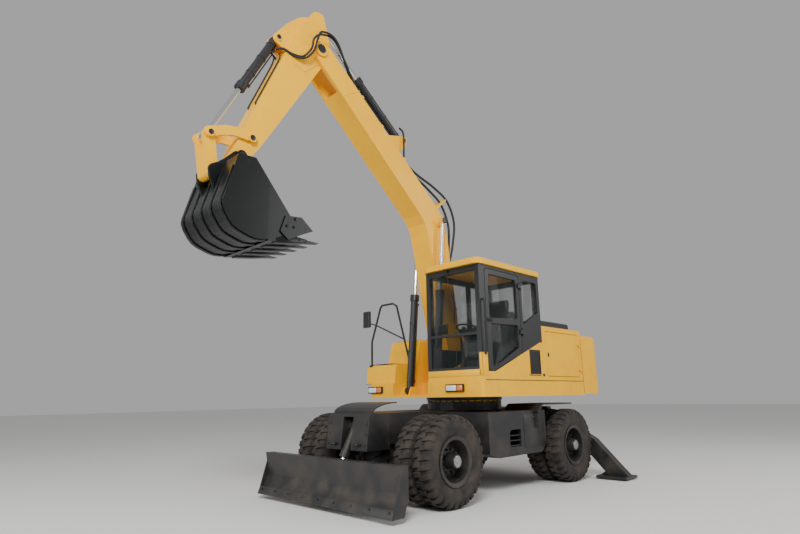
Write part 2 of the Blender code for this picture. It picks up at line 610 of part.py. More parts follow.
def build_engine_house():
    """Hollow engine house with two side doors and a lid, around the engine block."""
    low, high = DECK_TOP + GAP, HOUSE_TOP
    house = box((BODY_REAR, -BODY_HALF, low), (CAB_REAR - GAP, BODY_HALF, high))
    bevel_edges(house, 0.05, 3, lambda a, b: a.z > high - 0.001 and b.z > high - 0.001 and abs(a.y) > 1.1 and a.y * b.y > 0)
    hollow = box((BODY_REAR + WALL, -BODY_HALF + WALL, low - 0.1), (CAB_REAR - WALL, BODY_HALF - WALL, high - WALL))
    lid_hole = box((LID[0] + 0.05, LID[2] + 0.05, high - 0.1), (LID[1] - 0.05, LID[3] - 0.05, high + 0.1))
    cut(house, hollow, lid_hole, door_opening(1, 0.008), door_opening(-1, 0.008))
    for side, word in ((1, "left"), (-1, "right")):
        x = SERVICE_DOOR[0] - 0.022
        y = side * (BODY_HALF + 0.014)
        pins, knuckles, bores = hinge_parts(x, y, (DECK_TOP + 0.20, HOUSE_TOP - 0.22), side)
        join(house, *pins)
        door = cut(join(door_opening(side, 0.0), *knuckles), *bores)
        axis = axis_at(f"service_door_axis_{word}", x, y, DECK_TOP)
        finish(f"service_door_{word}", move(door, (-x, -y, -DECK_TOP)), yellow_paint, axis)
    finish("engine_house", house, yellow_paint, slew)
    finish("engine_block", box((-1.45, -0.62, low), (-0.72, 0.55, 1.98)), black_steel, slew)


def move(made, by):
    """Shifts a shape's mesh."""
    made.data.transform(Matrix.Translation(by))
    return made


def build_lid():
    """Low black lid over the engine, hinged at the rear."""
    x_low, x_high, y_low, y_high = LID
    axis = axis_at("engine_lid_axis", x_low, 0.0, HOUSE_TOP + 0.02)
    lid = box((0.0, y_low, -0.02 + GAP), (x_high - x_low, y_high, 0.09))
    bevel_edges(lid, 0.03, 2, lambda a, b: a.z > 0.085 and b.z > 0.085)
    finish("engine_lid", lid, black_steel, axis)


def tool_shape(grow):
    """The tool box, or with some growth the room it takes up."""
    inner = BOOM_Y - BOOM_CYLINDER_SIDE - 0.10 + grow
    low = DECK_TOP + GAP - grow
    side = [(0.50, low), (1.00 + grow, low), (0.97 + grow, 1.70), (0.93, 1.73 + grow), (0.50, 1.75 + grow)]
    return prism(side, -1.12 - grow, inner)


def build_right_side():
    """Tool box and fuel tank ahead of the engine house on the right, with the handrail's feet."""
    inner = BOOM_Y - BOOM_CYLINDER_SIDE - 0.10
    finish("tool_box", tool_shape(0.0), yellow_paint, slew)
    tank = prism([(CAB_REAR + GAP, DECK_TOP + GAP), (0.50 - GAP, DECK_TOP + GAP), (0.50 - GAP, 1.80), (0.42, 2.13),
                  (CAB_REAR + GAP, 2.13)], -1.14, inner)
    bevel_edges(tank, 0.04, 2, lambda a, b: a.z > 1.9 and b.z > 1.9 and max(a.x, b.x) > CAB_REAR + 0.1)
    finish("fuel_tank", tank, yellow_paint, slew)


def tube_path(points, radius, sides=10):
    """A bent tube as one closed mesh along a list of points."""
    bm = bmesh.new()
    points = [Vector(p) for p in points]
    rings = []
    for i, p in enumerate(points):
        before = (p - points[i - 1]).normalized() if i > 0 else (points[1] - p).normalized()
        after = (points[i + 1] - p).normalized() if i + 1 < len(points) else before
        along = (before + after).normalized()
        stretch = 1.0 / max(0.5, along.dot(before))
        side = along.cross(Vector((0.31, 0.23, 0.92))).normalized() if i == 0 else (side - along * side.dot(along)).normalized()
        across = along.cross(side)
        bend = (after - before)
        ring = []
        for k in range(sides):
            a = 2 * math.pi * k / sides
            offset = (side * math.cos(a) + across * math.sin(a)) * radius
            if bend.length > 1e-4:
                direction = bend.normalized()
                offset += direction * offset.dot(direction) * (stretch - 1.0)
            ring.append(bm.verts.new(p + offset))
        rings.append(ring)
    for ring, following in zip(rings, rings[1:]):
        for k in range(sides):
            m = (k + 1) % sides
            bm.faces.new((ring[k], ring[m], following[m], following[k]))
    bm.faces.new(rings[0])
    bm.faces.new(rings[-1])
    bmesh.ops.recalc_face_normals(bm, faces=bm.faces)
    return shape(bm)


def build_handrail():
    """Tube rail at the right front corner, with the mirror it carries."""
    x, y = 0.93, -1.07
    inner = BOOM_Y - BOOM_CYLINDER_SIDE - 0.15
    rail = tube_path([(x, y, 1.71), (x, y, 2.10), (x, y + 0.20, 2.62), (x, y + 0.24, 2.66), (x, inner - 0.04, 2.66),
                      (x - 0.04, inner, 2.62), (0.60, inner, 1.70)], 0.016)
    brace = tube_path([(x, y + 0.10, 2.36), (x - 0.19, inner, 2.12)], 0.012)
    mirror_arm = tube_path([(x, y + 0.10, 2.36), (x + 0.02, y - 0.02, 2.40), (x + 0.02, y - 0.10, 2.46)], 0.010)
    mirror = box((x - 0.01, y - 0.18, 2.34), (x + 0.035, y - 0.03, 2.60))
    bevel_edges(mirror, 0.012, 2, lambda a, b: True)
    feet = [box((x - 0.03, y - 0.03, 1.6), (x + 0.03, y + 0.03, 1.74)), box((0.57, inner - 0.03, 1.6), (0.63, inner + 0.03, 1.77))]
    rail = join(rail, brace, mirror_arm, mirror, *feet)
    cut(rail, tool_shape(GAP))
    finish("mirror_frame", rail, black_steel, slew)


# ---------------------------------------------------------------- cab
def cab_side(grow=0.0):
    """The cab's lower yellow part seen from its side; grow lowers its upper edge."""
    return [(CAB_REAR - 0.1, DECK_TOP - 0.1), (CAB_FRONT + 0.1, DECK_TOP - 0.1), (CAB_FRONT + 0.1, SILL - grow),
            (SLOPE_START, SILL - grow), (CAB_REAR + 0.06, SLOPE_TOP - grow), (CAB_REAR - 0.1, SLOPE_TOP - grow)]


def slope_at(x):
    """Height of the sloping edge between the cab's yellow and black parts."""
    share = (SLOPE_START - x) / (SLOPE_START - CAB_REAR - 0.06)
    return SILL + (SLOPE_TOP - SILL) * min(1.0, max(0.0, share))


def cab_shell(floor):
    """Hollow cab body between deck and roof, with its walls; open at the floor if there is none."""
    body = box((CAB_REAR, CAB_RIGHT, DECK_TOP + GAP), (CAB_FRONT, CAB_LEFT, CAB_TOP))
    low = DECK_TOP + 0.06 if floor else DECK_TOP - 0.2
    hollow = box((CAB_REAR + WALL, CAB_RIGHT + WALL, low), (CAB_FRONT - WALL, CAB_LEFT - WALL, CAB_TOP + 0.1))
    return cut(body, hollow)


def door_line(grow):
    """Outline of the cab door; its lower rear corner follows the sloping edge."""
    margin = 0.012 - grow
    rear, front, top = 0.10, 0.90, 2.93
    return rounded([(rear - grow, slope_at(rear) + margin), (SLOPE_START, SILL + margin), (front + grow, SILL + margin, 0.02),
                    (front + grow, top + grow, 0.05), (rear - grow, top + grow, 0.05)], 30)


def build_cab():
    """Cab in four pieces: yellow tub, black frame with its window openings, roof and door."""
    tub = cab_shell(True)
    keep = prism(cab_side(), CAB_RIGHT - 0.1, CAB_LEFT + 0.1)
    combine(tub, [keep], "INTERSECT")
    finish("cab_tub", tub, yellow_paint, slew)

    frame = cab_shell(False)
    y_mid = (CAB_RIGHT + CAB_LEFT) / 2
    half = (CAB_LEFT - CAB_RIGHT) / 2
    windows = [
        box((CAB_FRONT - 0.2, CAB_RIGHT + 0.07, 2.07), (CAB_FRONT + 0.1, CAB_LEFT - 0.07, 2.90)),
        box((CAB_FRONT - 0.2, CAB_RIGHT + 0.07, 1.62), (CAB_FRONT + 0.1, CAB_LEFT - 0.07, 2.035)),
        box((CAB_REAR - 0.1, y_mid - half + 0.10, HOUSE_TOP + 0.06), (CAB_REAR + 0.2, y_mid + half - 0.10, 2.90)),
        box((0.12, CAB_RIGHT - 0.1, 1.90), (CAB_FRONT - 0.10, CAB_RIGHT + 0.2, 2.90)),
        box((CAB_REAR + 0.09, CAB_RIGHT - 0.1, 2.16), (0.06, CAB_RIGHT + 0.2, 2.90)),
        prism(rounded([(CAB_REAR + 0.07, 2.44, 0.03), (0.03, 2.22, 0.03), (0.03, 2.88, 0.04), (CAB_REAR + 0.07, 2.88, 0.04)], 30),
              CAB_LEFT - 0.2, CAB_LEFT + 0.1),
        prism(door_line(0.009), CAB_LEFT - 0.2, CAB_LEFT + 0.1),
        prism(cab_side(-GAP), CAB_RIGHT - 0.1, CAB_LEFT + 0.1),
    ]
    cut(frame, *windows)
    x, y, z = 0.10 - 0.022, CAB_LEFT + 0.014, 2.2
    pins, knuckles, bores = hinge_parts(x, y, (2.12, 2.78), 1)
    join(frame, *pins)
    finish("cab_frame", frame, black_steel, slew)

    roof = prism(rounded([(CAB_REAR - 0.05, CAB_RIGHT - 0.035, 0.10), (CAB_FRONT + 0.06, CAB_RIGHT - 0.035, 0.10),
                          (CAB_FRONT + 0.06, CAB_LEFT + 0.035, 0.10), (CAB_REAR - 0.05, CAB_LEFT + 0.035, 0.10)], 30),
                 CAB_TOP + GAP, ROOF_TOP, "Z")
    bevel_edges(roof, 0.04, 2, lambda a, b: a.z > ROOF_TOP - 0.001 and b.z > ROOF_TOP - 0.001)
    finish("cab_roof", roof, yellow_paint, slew)

    axis = axis_at("cab_door_axis", x, y, z)
    door = prism(door_line(0.0), CAB_LEFT - 0.045, CAB_LEFT)
    upper = prism(rounded([(0.17, 2.30, 0.03), (0.83, 2.26, 0.03), (0.83, 2.86, 0.04), (0.17, 2.86, 0.04)], 30),
                  CAB_LEFT - 0.2, CAB_LEFT + 0.1)
    lower = prism(rounded([(0.17, slope_at(0.17) + 0.11, 0.03), (SLOPE_START - 0.03, SILL + 0.07, 0.03),
                           (0.80, SILL + 0.07, 0.03), (0.80, 2.19, 0.03), (0.17, 2.21, 0.03)], 30),
                  CAB_LEFT - 0.2, CAB_LEFT + 0.1)
    cut(join(cut(door, upper, lower), *knuckles), *bores)
    finish("cab_door", move(door, (-x, -y, -z)), black_steel, axis)


def build_seat():
    """Seat cushion and back on one base, and the steering column with its wheel."""
    floor = DECK_TOP + 0.06 + GAP
    y = 0.66
    base = box((0.02, y - 0.20, floor), (0.46, y + 0.20, floor + 0.27))
    cushion = prism(rounded([(-0.04, floor + 0.26), (0.50, floor + 0.26), (0.52, floor + 0.36, 0.04),
                             (0.10, floor + 0.37, 0.03), (-0.06, floor + 0.95, 0.03), (-0.18, floor + 0.95, 0.04),
                             (-0.10, floor + 0.30)], 30), y - 0.23, y + 0.23)
    head = prism(rounded([(-0.16, floor + 0.94), (-0.09, floor + 0.94), (-0.09, floor + 1.14, 0.03), (-0.20, floor + 1.14, 0.04)], 30),
                 y - 0.13, y + 0.13)
    finish("seat", join(cushion, head, base), seat_cloth, slew)
    top = Vector((0.66, y, floor + 0.66))
    foot = Vector((0.86, y, floor))
    column = tube_path([foot + Vector((0, 0, 0.02)), foot.lerp(top, 0.5), top], 0.03)
    normal = (top - foot).normalized()
    wheel = steering_ring(top, normal, 0.17, 0.012)
    spokes = [tube_path([top - normal * 0.01, top + direction * 0.17], 0.009, 6) for direction in spoke_directions(normal)]
    plinth = box((foot.x - 0.05, y - 0.05, floor), (foot.x + 0.06, y + 0.05, floor + 0.05))
    finish("steering_column", join(column, wheel, plinth, *spokes), black_steel, slew)


def spoke_directions(normal):
    """Three directions across a steering wheel."""
    side = normal.cross(Vector((0, 1, 0))).normalized()
    across = normal.cross(side)
    return [side * math.cos(a) + across * math.sin(a) for a in (math.radians(d) for d in (90, 210, 330))]


def steering_ring(centre, normal, radius, thickness, around=20, section=6):
    """A steering wheel's rim as a closed ring."""
    bm = bmesh.new()
    side = normal.cross(Vector((0, 1, 0))).normalized()
    across = normal.cross(side)
    rings = []
    for i in range(around):
        a = 2 * math.pi * i / around
        out = side * math.cos(a) + across * math.sin(a)
        rings.append([bm.verts.new(centre + out * (radius + thickness * math.cos(b)) + normal * (thickness * math.sin(b)))
                      for b in (2 * math.pi * k / section for k in range(section))])
    for i in range(around):
        following = rings[(i + 1) % around]
        for k in range(section):
            m = (k + 1) % section
            bm.faces.new((rings[i][k], rings[i][m], following[m], following[k]))
    bmesh.ops.recalc_face_normals(bm, faces=bm.faces)
    return shape(bm)


# ---------------------------------------------------------------- working arm
def build_boom(axis):
    """One-piece boom: a tapered box with a knee, forked at its tip, with the arm cylinder's bracket."""
    line = rounded([(-0.09, 0.125, 0.12), (1.933, 1.063, 0.60), (BOOM_LENGTH + 0.03, 0.166, 0.14), (BOOM_LENGTH + 0.15, -0.09, 0.12), (BOOM_LENGTH - 0.09, -0.125, 0.10),
                    (2.047, 0.603, 0.50), (0.05, -0.145, 0.12), (-0.15, -0.02, 0.12)])
    boom = prism(line, -BOOM_HALF, BOOM_HALF)
    slot = box((BOOM_LENGTH - 0.59, -ARM_HALF - CLEAR, -0.6), (BOOM_LENGTH + 0.43, ARM_HALF + CLEAR, 0.6))
    x, z = ARM_CYLINDER_FOOT
    bracket = [prism(rounded([(x - 0.22, 0.50), (x + 0.24, 0.45), (x + 0.06, z + 0.04, 0.06), (x - 0.07, z + 0.05, 0.06)]),
                     min(s * (0.066 + PLAY), s * 0.096), max(s * (0.066 + PLAY), s * 0.096)) for s in (-1, 1)]
    cut(boom, slot)
    bracket_pin = cross_bar(x, z, 0.035, -0.096, 0.096)
    tip_pin = cross_bar(BOOM_LENGTH, 0, 0.045, -BOOM_HALF - 0.012, BOOM_HALF + 0.012, 24)
    x, z = BOOM_CYLINDER_TOP
    boss = cross_bar(x, z, 0.085, -BOOM_CYLINDER_SIDE + 0.045 + PLAY, BOOM_CYLINDER_SIDE - 0.045 - PLAY, 24)
    join(boom, *bracket, bracket_pin, tip_pin, boss)
    cut(boom, cross_bar(0, 0, 0.05 + BORE, -0.3, 0.3, 24))
    finish("boom", boom, yellow_paint, axis)


def build_arm(axis):
    """Arm: a tapered box with a curved head, the bucket cylinder's bracket and a narrow nose."""
    x, z = ARM_CYLINDER_TOP
    line = rounded([(ARM_LENGTH + 0.085, -0.085, 0.08), (ARM_LENGTH + 0.085, 0.085, 0.08), (1.82, 0.165, 0.4), (0.45, 0.325, 0.4),
                    (0.0, 0.375, 0.4), (x + 0.02, z + 0.135, 0.07), (x - 0.085, z + 0.02, 0.07), (-0.22, -0.12, 0.15),
                    (0.15, -0.165, 0.20), (1.90, -0.125, 0.4)])
    arm = prism(line, -ARM_HALF, ARM_HALF)
    rod_slot = box((x - 0.2, -0.052 - PLAY, z - 0.30), (x + 0.16, 0.052 + PLAY, z + 0.3))
    cut(arm, rod_slot)
    x, z = BUCKET_CYLINDER_FOOT
    plates = [prism(rounded([(-0.42, 0.30), (0.44, 0.28), (x + 0.08, z - 0.03), (x + 0.06, z + 0.065, 0.07), (0.10, z + 0.03, 0.2),
                             (-0.20, 0.455, 0.2)]),
                    min(s * (0.060 + PLAY), s * 0.092), max(s * (0.060 + PLAY), s * 0.092)) for s in (-1, 1)]
    pin = cross_bar(x, z, 0.032, -0.092, 0.092)
    join(arm, *plates, pin)
    cut(arm, cross_bar(0, 0, 0.045 + BORE, -0.3, 0.3, 24), cross_bar(ARM_LENGTH, 0, PIN + BORE, -0.3, 0.3, 24),
        cross_bar(IDLER_PIN[0], IDLER_PIN[1], 0.035 + BORE, -0.3, 0.3, 24))
    finish("arm", arm, yellow_paint, axis)


def build_bucket(axis):
    """Digging bucket: curled shell open at its mouth, with ears, cutting edge, side cutters and teeth."""
    outer = rounded([(0.10, 0.09), (0.87, 0.14), (1.055, 0.145), (1.045, 0.335), (0.80, 0.70, 0.30), (0.55, 0.835, 0.22),
                     (0.30, 0.795, 0.15), (-0.04, 0.25, 0.02)])
    inner = rounded([(0.135, 0.0), (1.2, 0.0), (1.2, 0.20), (1.008, 0.33), (0.776, 0.68, 0.28), (0.54, 0.805, 0.20),
                     (0.318, 0.768, 0.13), (0.00, 0.25, 0.01)])
    shell = prism(outer, -BUCKET_HALF, BUCKET_HALF)
    cut(shell, prism(inner, -BUCKET_HALF + BUCKET_PLATE, BUCKET_HALF - BUCKET_PLATE))
    parts = []
    lx, lz = LINK_PIN
    for s in (-1, 1):
        low, high = sorted((s * (ARM_HALF + CLEAR), s * (ARM_HALF + CLEAR + 0.035)))
        parts.append(prism(rounded([(0.05, -0.085, 0.07), (0.12, 0.12), (0.16, 0.56), (lx + 0.02, lz + 0.09, 0.06),
                                    (lx - 0.085, lz + 0.02, 0.06), (lx - 0.05, 0.28, 0.1), (-0.085, 0.02, 0.07)]), low, high))
        low, high = sorted((s * BUCKET_HALF, s * (BUCKET_HALF + 0.02)))
        parts.append(prism([(0.80, 0.20), (0.93, 0.03), (1.14, 0.0), (1.10, 0.12), (1.03, 0.36), (0.90, 0.38)],
                           min(s * (BUCKET_HALF - 0.01), s * (BUCKET_HALF + 0.02)), max(s * (BUCKET_HALF - 0.01), s * (BUCKET_HALF + 0.02))))
    for k in range(5):
        y = (k - 2) * (BUCKET_HALF - 0.05) / 2
        parts.append(prism([(0.99, 0.33), (1.075, 0.24), (1.305, 0.0), (1.10, 0.30), (0.96, 0.475)], y - 0.045, y + 0.045))
    parts.append(cross_bar(0, 0, PIN, -ARM_HALF - CLEAR - 0.045, ARM_HALF + CLEAR + 0.045, 24))
    edge = prism([(1.045, 0.335), (1.075, 0.285), (1.085, 0.30), (0.90, 0.585), (0.89, 0.56)], -BUCKET_HALF, BUCKET_HALF)
    join(shell, edge, *parts)
    finish("bucket", shell, bucket_steel, axis)


def build_linkage(arm_pin):
    """Bucket linkage: a pair of curved idlers on one pin, and the tipping link down to the bucket."""
    pin = from_axis(arm_pin, ARM_ANGLE, IDLER_PIN)
    top = from_axis(arm_pin, ARM_ANGLE, ROD_PIN)
    span, angle = aim(pin, top)
    axis = axis_at("idler_axis", pin[0], BOOM_Y, pin[1], angle)
    plates = []
    for s in (-1, 1):
        low, high = sorted((s * (ARM_HALF + CLEAR), s * (ARM_HALF + CLEAR + 0.028)))
        plates.append(prism(rounded([(-0.07, -0.06, 0.05), (span / 2, 0.01, 0.4), (span + 0.07, -0.06, 0.05), (span + 0.07, 0.06, 0.05),
                                     (span / 2, 0.125, 0.4), (-0.07, 0.06, 0.05)]), low, high))
        low, high = sorted((s * 0.056, s * (ARM_HALF + CLEAR + 0.02)))
        plates.append(cross_bar(span, 0, 0.035, low, high, 20))
    idler = join(cross_bar(0, 0, 0.035, -ARM_HALF - 0.03, ARM_HALF + 0.03, 24), *plates)
    finish("idler_links", idler, yellow_paint, axis)

    bucket_pin = from_axis(arm_pin, ARM_ANGLE, (ARM_LENGTH, 0))
    low_pin = from_axis(bucket_pin, BUCKET_ANGLE, LINK_PIN)
    reach, angle = aim(top, low_pin)
    axis = axis_at("tipping_link_axis", top[0], BOOM_Y, top[1], angle)
    half = ARM_HALF + CLEAR - 0.0008
    link = prism(rounded([(-0.065, -0.065, 0.06), (reach + 0.06, -0.062, 0.055), (reach + 0.06, 0.062, 0.055), (-0.065, 0.065, 0.06)]),
                 -half, half)
    cut(link, box((-0.2, -0.055, -0.2), (0.17, 0.055, 0.2)), cross_bar(0, 0, 0.035 + BORE, -0.2, 0.2, 24))
    finish("tipping_link", link, yellow_paint, axis)
    return top


def build_cylinders(boom_foot, arm_pin, rod_pin):
    """Boom, arm and bucket cylinders between their pins."""
    end = from_axis(boom_foot, BOOM_ANGLE, BOOM_CYLINDER_TOP)
    length, angle = aim(BOOM_CYLINDER_FOOT, end)
    axis = axis_at("boom_cylinder_axis", BOOM_CYLINDER_FOOT[0], BOOM_Y, BOOM_CYLINDER_FOOT[1], angle)
    for side, word in ((1, "left"), (-1, "right")):
        barrel = cylinder_barrel(BOOM_CYLINDER_BARREL, 0.056, 0.060, 0.032, 0.051)
        cut(barrel, cross_bar(0, 0, 0.028 + BORE, -0.1, 0.1))
        finish(f"boom_cylinder_barrel_{word}", move(barrel, (0, side * BOOM_CYLINDER_SIDE, 0)), black_steel, axis)
        rod = cylinder_rod(1.10, length, 0.032, 0.045, 0.055)
        finish(f"boom_cylinder_rod_{word}", move(rod, (0, side * BOOM_CYLINDER_SIDE, 0)), chrome, axis, smooth=True)

    foot = from_axis(boom_foot, BOOM_ANGLE, ARM_CYLINDER_FOOT)
    end = from_axis(arm_pin, ARM_ANGLE, ARM_CYLINDER_TOP)
    length, angle = aim(foot, end)
    axis = axis_at("arm_cylinder_axis", foot[0], BOOM_Y, foot[1], angle)
    barrel = cylinder_barrel(ARM_CYLINDER_BARREL, 0.062, 0.066, 0.036, 0.060)
    cut(barrel, cross_bar(0, 0, 0.035 + BORE, -0.1, 0.1))
    finish("arm_cylinder_barrel", barrel, black_steel, axis)
    finish("arm_cylinder_rod", cylinder_rod(0.79, length, 0.036, 0.052, 0.055), chrome, axis, smooth=True)

    foot = from_axis(arm_pin, ARM_ANGLE, BUCKET_CYLINDER_FOOT)
    length, angle = aim(foot, rod_pin)
    axis = axis_at("bucket_cylinder_axis", foot[0], BOOM_Y, foot[1], angle)
    barrel = cylinder_barrel(BUCKET_CYLINDER_BARREL, 0.056, 0.060, 0.032, 0.055)
    cut(barrel, cross_bar(0, 0, 0.032 + BORE, -0.1, 0.1))
    finish("bucket_cylinder_barrel", barrel, black_steel, axis)
    finish("bucket_cylinder_rod", cylinder_rod(0.88, length, 0.032, 0.0545, 0.055), chrome, axis, smooth=True)


def build_working_arm():
    """Boom, arm, bucket and their cylinders, posed at the rest angles."""
    boom_foot = BOOM_FOOT
    arm_pin = from_axis(boom_foot, BOOM_ANGLE, (BOOM_LENGTH, 0))
    bucket_pin = from_axis(arm_pin, ARM_ANGLE, (ARM_LENGTH, 0))
    build_boom(axis_at("boom_axis", boom_foot[0], BOOM_Y, boom_foot[1], BOOM_ANGLE))
    build_arm(axis_at("arm_axis", arm_pin[0], BOOM_Y, arm_pin[1], ARM_ANGLE))
    build_bucket(axis_at("bucket_axis", bucket_pin[0], BOOM_Y, bucket_pin[1], BUCKET_ANGLE))
    rod_pin = build_linkage(arm_pin)
    build_cylinders(boom_foot, arm_pin, rod_pin)


# ---------------------------------------------------------------- assembly
for old in list(bpy.data.objects):
    bpy.data.objects.remove(old, do_unlink=True)

yellow_paint = paint("yellow_paint", YELLOW, 0.35)
black_steel = paint("black_steel", BLACK, 0.45)
bucket_steel = paint("bucket_steel", (0.015, 0.016, 0.017), 0.4)
chrome = paint("chrome", (0.75, 0.75, 0.77), 0.15, 1.0)
rubber = paint("rubber", (0.10, 0.085, 0.07), 0.85)
seat_cloth = paint("seat_cloth", (0.05, 0.05, 0.05), 0.9)

machine = bpy.data.objects.new("machine", None)
bpy.context.scene.collection.objects.link(machine)
machine.location = (SLEW_X, 0.0, 0.0)
slew = axis_at("slewing_axis", 0.0, 0.0, 0.0)

build_chassis()
build_front_box()
build_side_boxes()
build_axles()
build_wheels()
build_blade()
build_outriggers()
build_deck()
build_counterweight()
build_engine_house()
build_lid()
build_right_side()
build_handrail()
build_cab()
build_seat()
build_working_arm()
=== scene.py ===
"""Looks of a wheeled excavator with twin tyres, a front blade and rear outriggers.

Metres, +Z up, +X towards the blade, +Y to the operator's left, origin on the ground under the middle.
"""

import math

import bpy
from mathutils import Matrix, Vector


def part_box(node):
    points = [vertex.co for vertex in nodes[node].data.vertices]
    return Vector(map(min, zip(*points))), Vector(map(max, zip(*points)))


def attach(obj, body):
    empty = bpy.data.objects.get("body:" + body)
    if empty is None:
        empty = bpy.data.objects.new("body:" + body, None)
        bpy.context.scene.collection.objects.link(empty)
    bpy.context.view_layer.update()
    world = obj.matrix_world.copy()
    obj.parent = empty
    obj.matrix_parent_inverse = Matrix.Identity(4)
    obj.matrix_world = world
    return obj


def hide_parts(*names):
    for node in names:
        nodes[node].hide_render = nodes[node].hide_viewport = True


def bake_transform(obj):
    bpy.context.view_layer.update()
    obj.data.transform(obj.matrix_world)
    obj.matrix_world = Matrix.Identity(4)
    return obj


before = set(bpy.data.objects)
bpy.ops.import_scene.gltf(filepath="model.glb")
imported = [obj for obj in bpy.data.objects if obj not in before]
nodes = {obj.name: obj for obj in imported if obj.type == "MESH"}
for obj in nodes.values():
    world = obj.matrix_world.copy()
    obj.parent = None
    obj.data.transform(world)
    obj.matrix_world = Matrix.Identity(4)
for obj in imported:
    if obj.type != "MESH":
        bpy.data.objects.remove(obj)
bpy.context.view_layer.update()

# ---------------------------------------------------------------- camera
# The machine is seen from its front left, from about chest height, with a wide lens close by.
# The camera looks slightly up, so the raised boom narrows towards its top.
SLEW_X = -1.0615
yaw, pitch, roll = math.radians(-134.87), math.radians(13.13), math.radians(-0.87)
ahead = Vector((math.cos(yaw) * math.cos(pitch), math.sin(yaw) * math.cos(pitch), math.sin(pitch)))
level = Vector((math.sin(yaw), -math.cos(yaw), 0))
upward = level.cross(ahead)
across = level * math.cos(roll) + upward * math.sin(roll)
upright = upward * math.cos(roll) - level * math.sin(roll)
lens = bpy.data.cameras.new("camera")
lens.lens, lens.sensor_width, lens.clip_start, lens.clip_end = 25.0, 36.0, 0.05, 200
camera = bpy.data.objects.new("camera", lens)
bpy.context.scene.collection.objects.link(camera)
turn = Matrix((across, upright, -ahead)).transposed().to_4x4()
camera.matrix_world = Matrix.Translation((6.856 + SLEW_X, 5.538, 1.255)) @ turn
bpy.context.scene.camera = camera


# ---------------------------------------------------------------- yellow paint
# Welded steel sprayed with two-pack enamel: glossy, faintly uneven, with a little dust that gathers
# low down. The boom, arm, links, deck, house, counterweight, tank and the cab's tub and roof carry it.
class Wire:
    """A shader value that takes part in sums."""

    def __init__(self, shader, socket):
        self.shader, self.socket = shader, socket

    def sum(self, operation, first, second):
        return self.shader.add("Math", {"operation": operation}, {0: first, 1: second})

    def __add__(self, other):
        return self.sum("ADD", self, other)

    def __sub__(self, other):
        return self.sum("SUBTRACT", self, other)

    def __rsub__(self, other):
        return self.sum("SUBTRACT", other, self)

    def __mul__(self, other):
        return self.sum("MULTIPLY", self, other)

    __radd__, __rmul__ = __add__, __mul__


class Finish:
    """One finish and its nodes."""

    def __init__(self, name, colour, roughness, metallic=0.0, coat=0.0):
        self.material = bpy.data.materials.new(name)
        self.material.use_nodes = True
        self.tree = self.material.node_tree
        self.surface = self.tree.nodes["Principled BSDF"]
        self.set("Base Color", (*colour, 1.0))
        self.set("Roughness", roughness)
        self.set("Metallic", metallic)
        self.set("Coat Weight", coat)
        self.material.diffuse_color = (*colour, 1.0)

    def feed(self, socket, value):
        if isinstance(value, Wire):
            self.tree.links.new(value.socket, socket)
        else:
            socket.default_value = value

    def set(self, name, value):
        self.feed(self.surface.inputs[name], value)

    def add(self, kind, settings, inputs, output=0):
        node = self.tree.nodes.new("ShaderNode" + kind)
        for key, value in settings.items():
            setattr(node, key, value)
        for key, value in inputs.items():
            self.feed(node.inputs[key], value)
        return Wire(self, node.outputs[output])

    def place(self):
        return self.add("TexCoord", {}, {}, "Object")

    def height(self):
        return self.add("SeparateXYZ", {}, {0: self.place()}, "Z")

    def noise(self, scale, detail=4.0):
        return self.add("TexNoise", {}, {"Vector": self.place(), "Scale": scale, "Detail": detail})

    def span(self, value, low, high):
        return self.add("MapRange", {}, {"Value": value, "From Min": low, "From Max": high})

    def blend(self, factor, first, second):
        made = self.add("Mix", {"data_type": "RGBA"}, {"Factor": factor}, 2)
        self.feed(made.socket.node.inputs[6], first if isinstance(first, Wire) else (*first, 1.0))
        self.feed(made.socket.node.inputs[7], second if isinstance(second, Wire) else (*second, 1.0))
        return made

    def bump(self, value, strength, distance):
        inputs = {"Height": value, "Strength": strength, "Distance": distance}
        self.set("Normal", self.add("Bump", {}, inputs))


DUST = (0.20, 0.155, 0.105)
enamel = Finish("yellow_enamel", (1.0, 0.50, 0.0), 0.34, coat=0.12)
enamel.set("Specular IOR Level", 0.25)
patches = enamel.span(enamel.noise(2.2), 0.35, 0.75)
colour = enamel.blend(patches, (1.0, 0.52, 0.0), (0.97, 0.46, 0.0))
grime = enamel.span(enamel.noise(9.0, 6.0), 0.52, 0.80) * 0.22
low_down = 1.0 - enamel.span(enamel.height(), 1.2, 2.0)
enamel.set("Base Color", enamel.blend(grime * (low_down * 0.7 + 0.15), colour, DUST))
enamel.set("Roughness", enamel.span(enamel.noise(5.0), 0.2, 0.8) * 0.14 + 0.28)
enamel.bump(enamel.noise(240.0, 2.0), 0.03, 0.002)


def coat_nodes(finish, *names):
    """Gives CAD nodes a finish."""
    for name in names:
        nodes[name].data.materials.clear()
        nodes[name].data.materials.append(finish.material)


coat_nodes(enamel, "boom", "arm", "idler_links", "tipping_link", "slewing_deck", "counterweight", "engine_house",
           "tool_box", "fuel_tank", "cab_tub", "cab_roof", "service_door_left", "service_door_right")

# ---------------------------------------------------------------- black paint of the upper body
# Satin black, kept fairly clean, on the cab's frame, the door, the lid, the mirror's tubes and the barrels
# of the working arm's cylinders. The engine's block and the steering column share it.
satin_black = Finish("satin_black", (0.016, 0.016, 0.018), 0.36, coat=0.1)
satin_black.set("Roughness", satin_black.span(satin_black.noise(6.0), 0.2, 0.8) * 0.16 + 0.28)
coat_nodes(satin_black, "cab_frame", "cab_door", "engine_lid", "mirror_frame", "engine_block", "steering_column",
           "arm_cylinder_barrel", "bucket_cylinder_barrel", "boom_cylinder_barrel_left", "boom_cylinder_barrel_right")

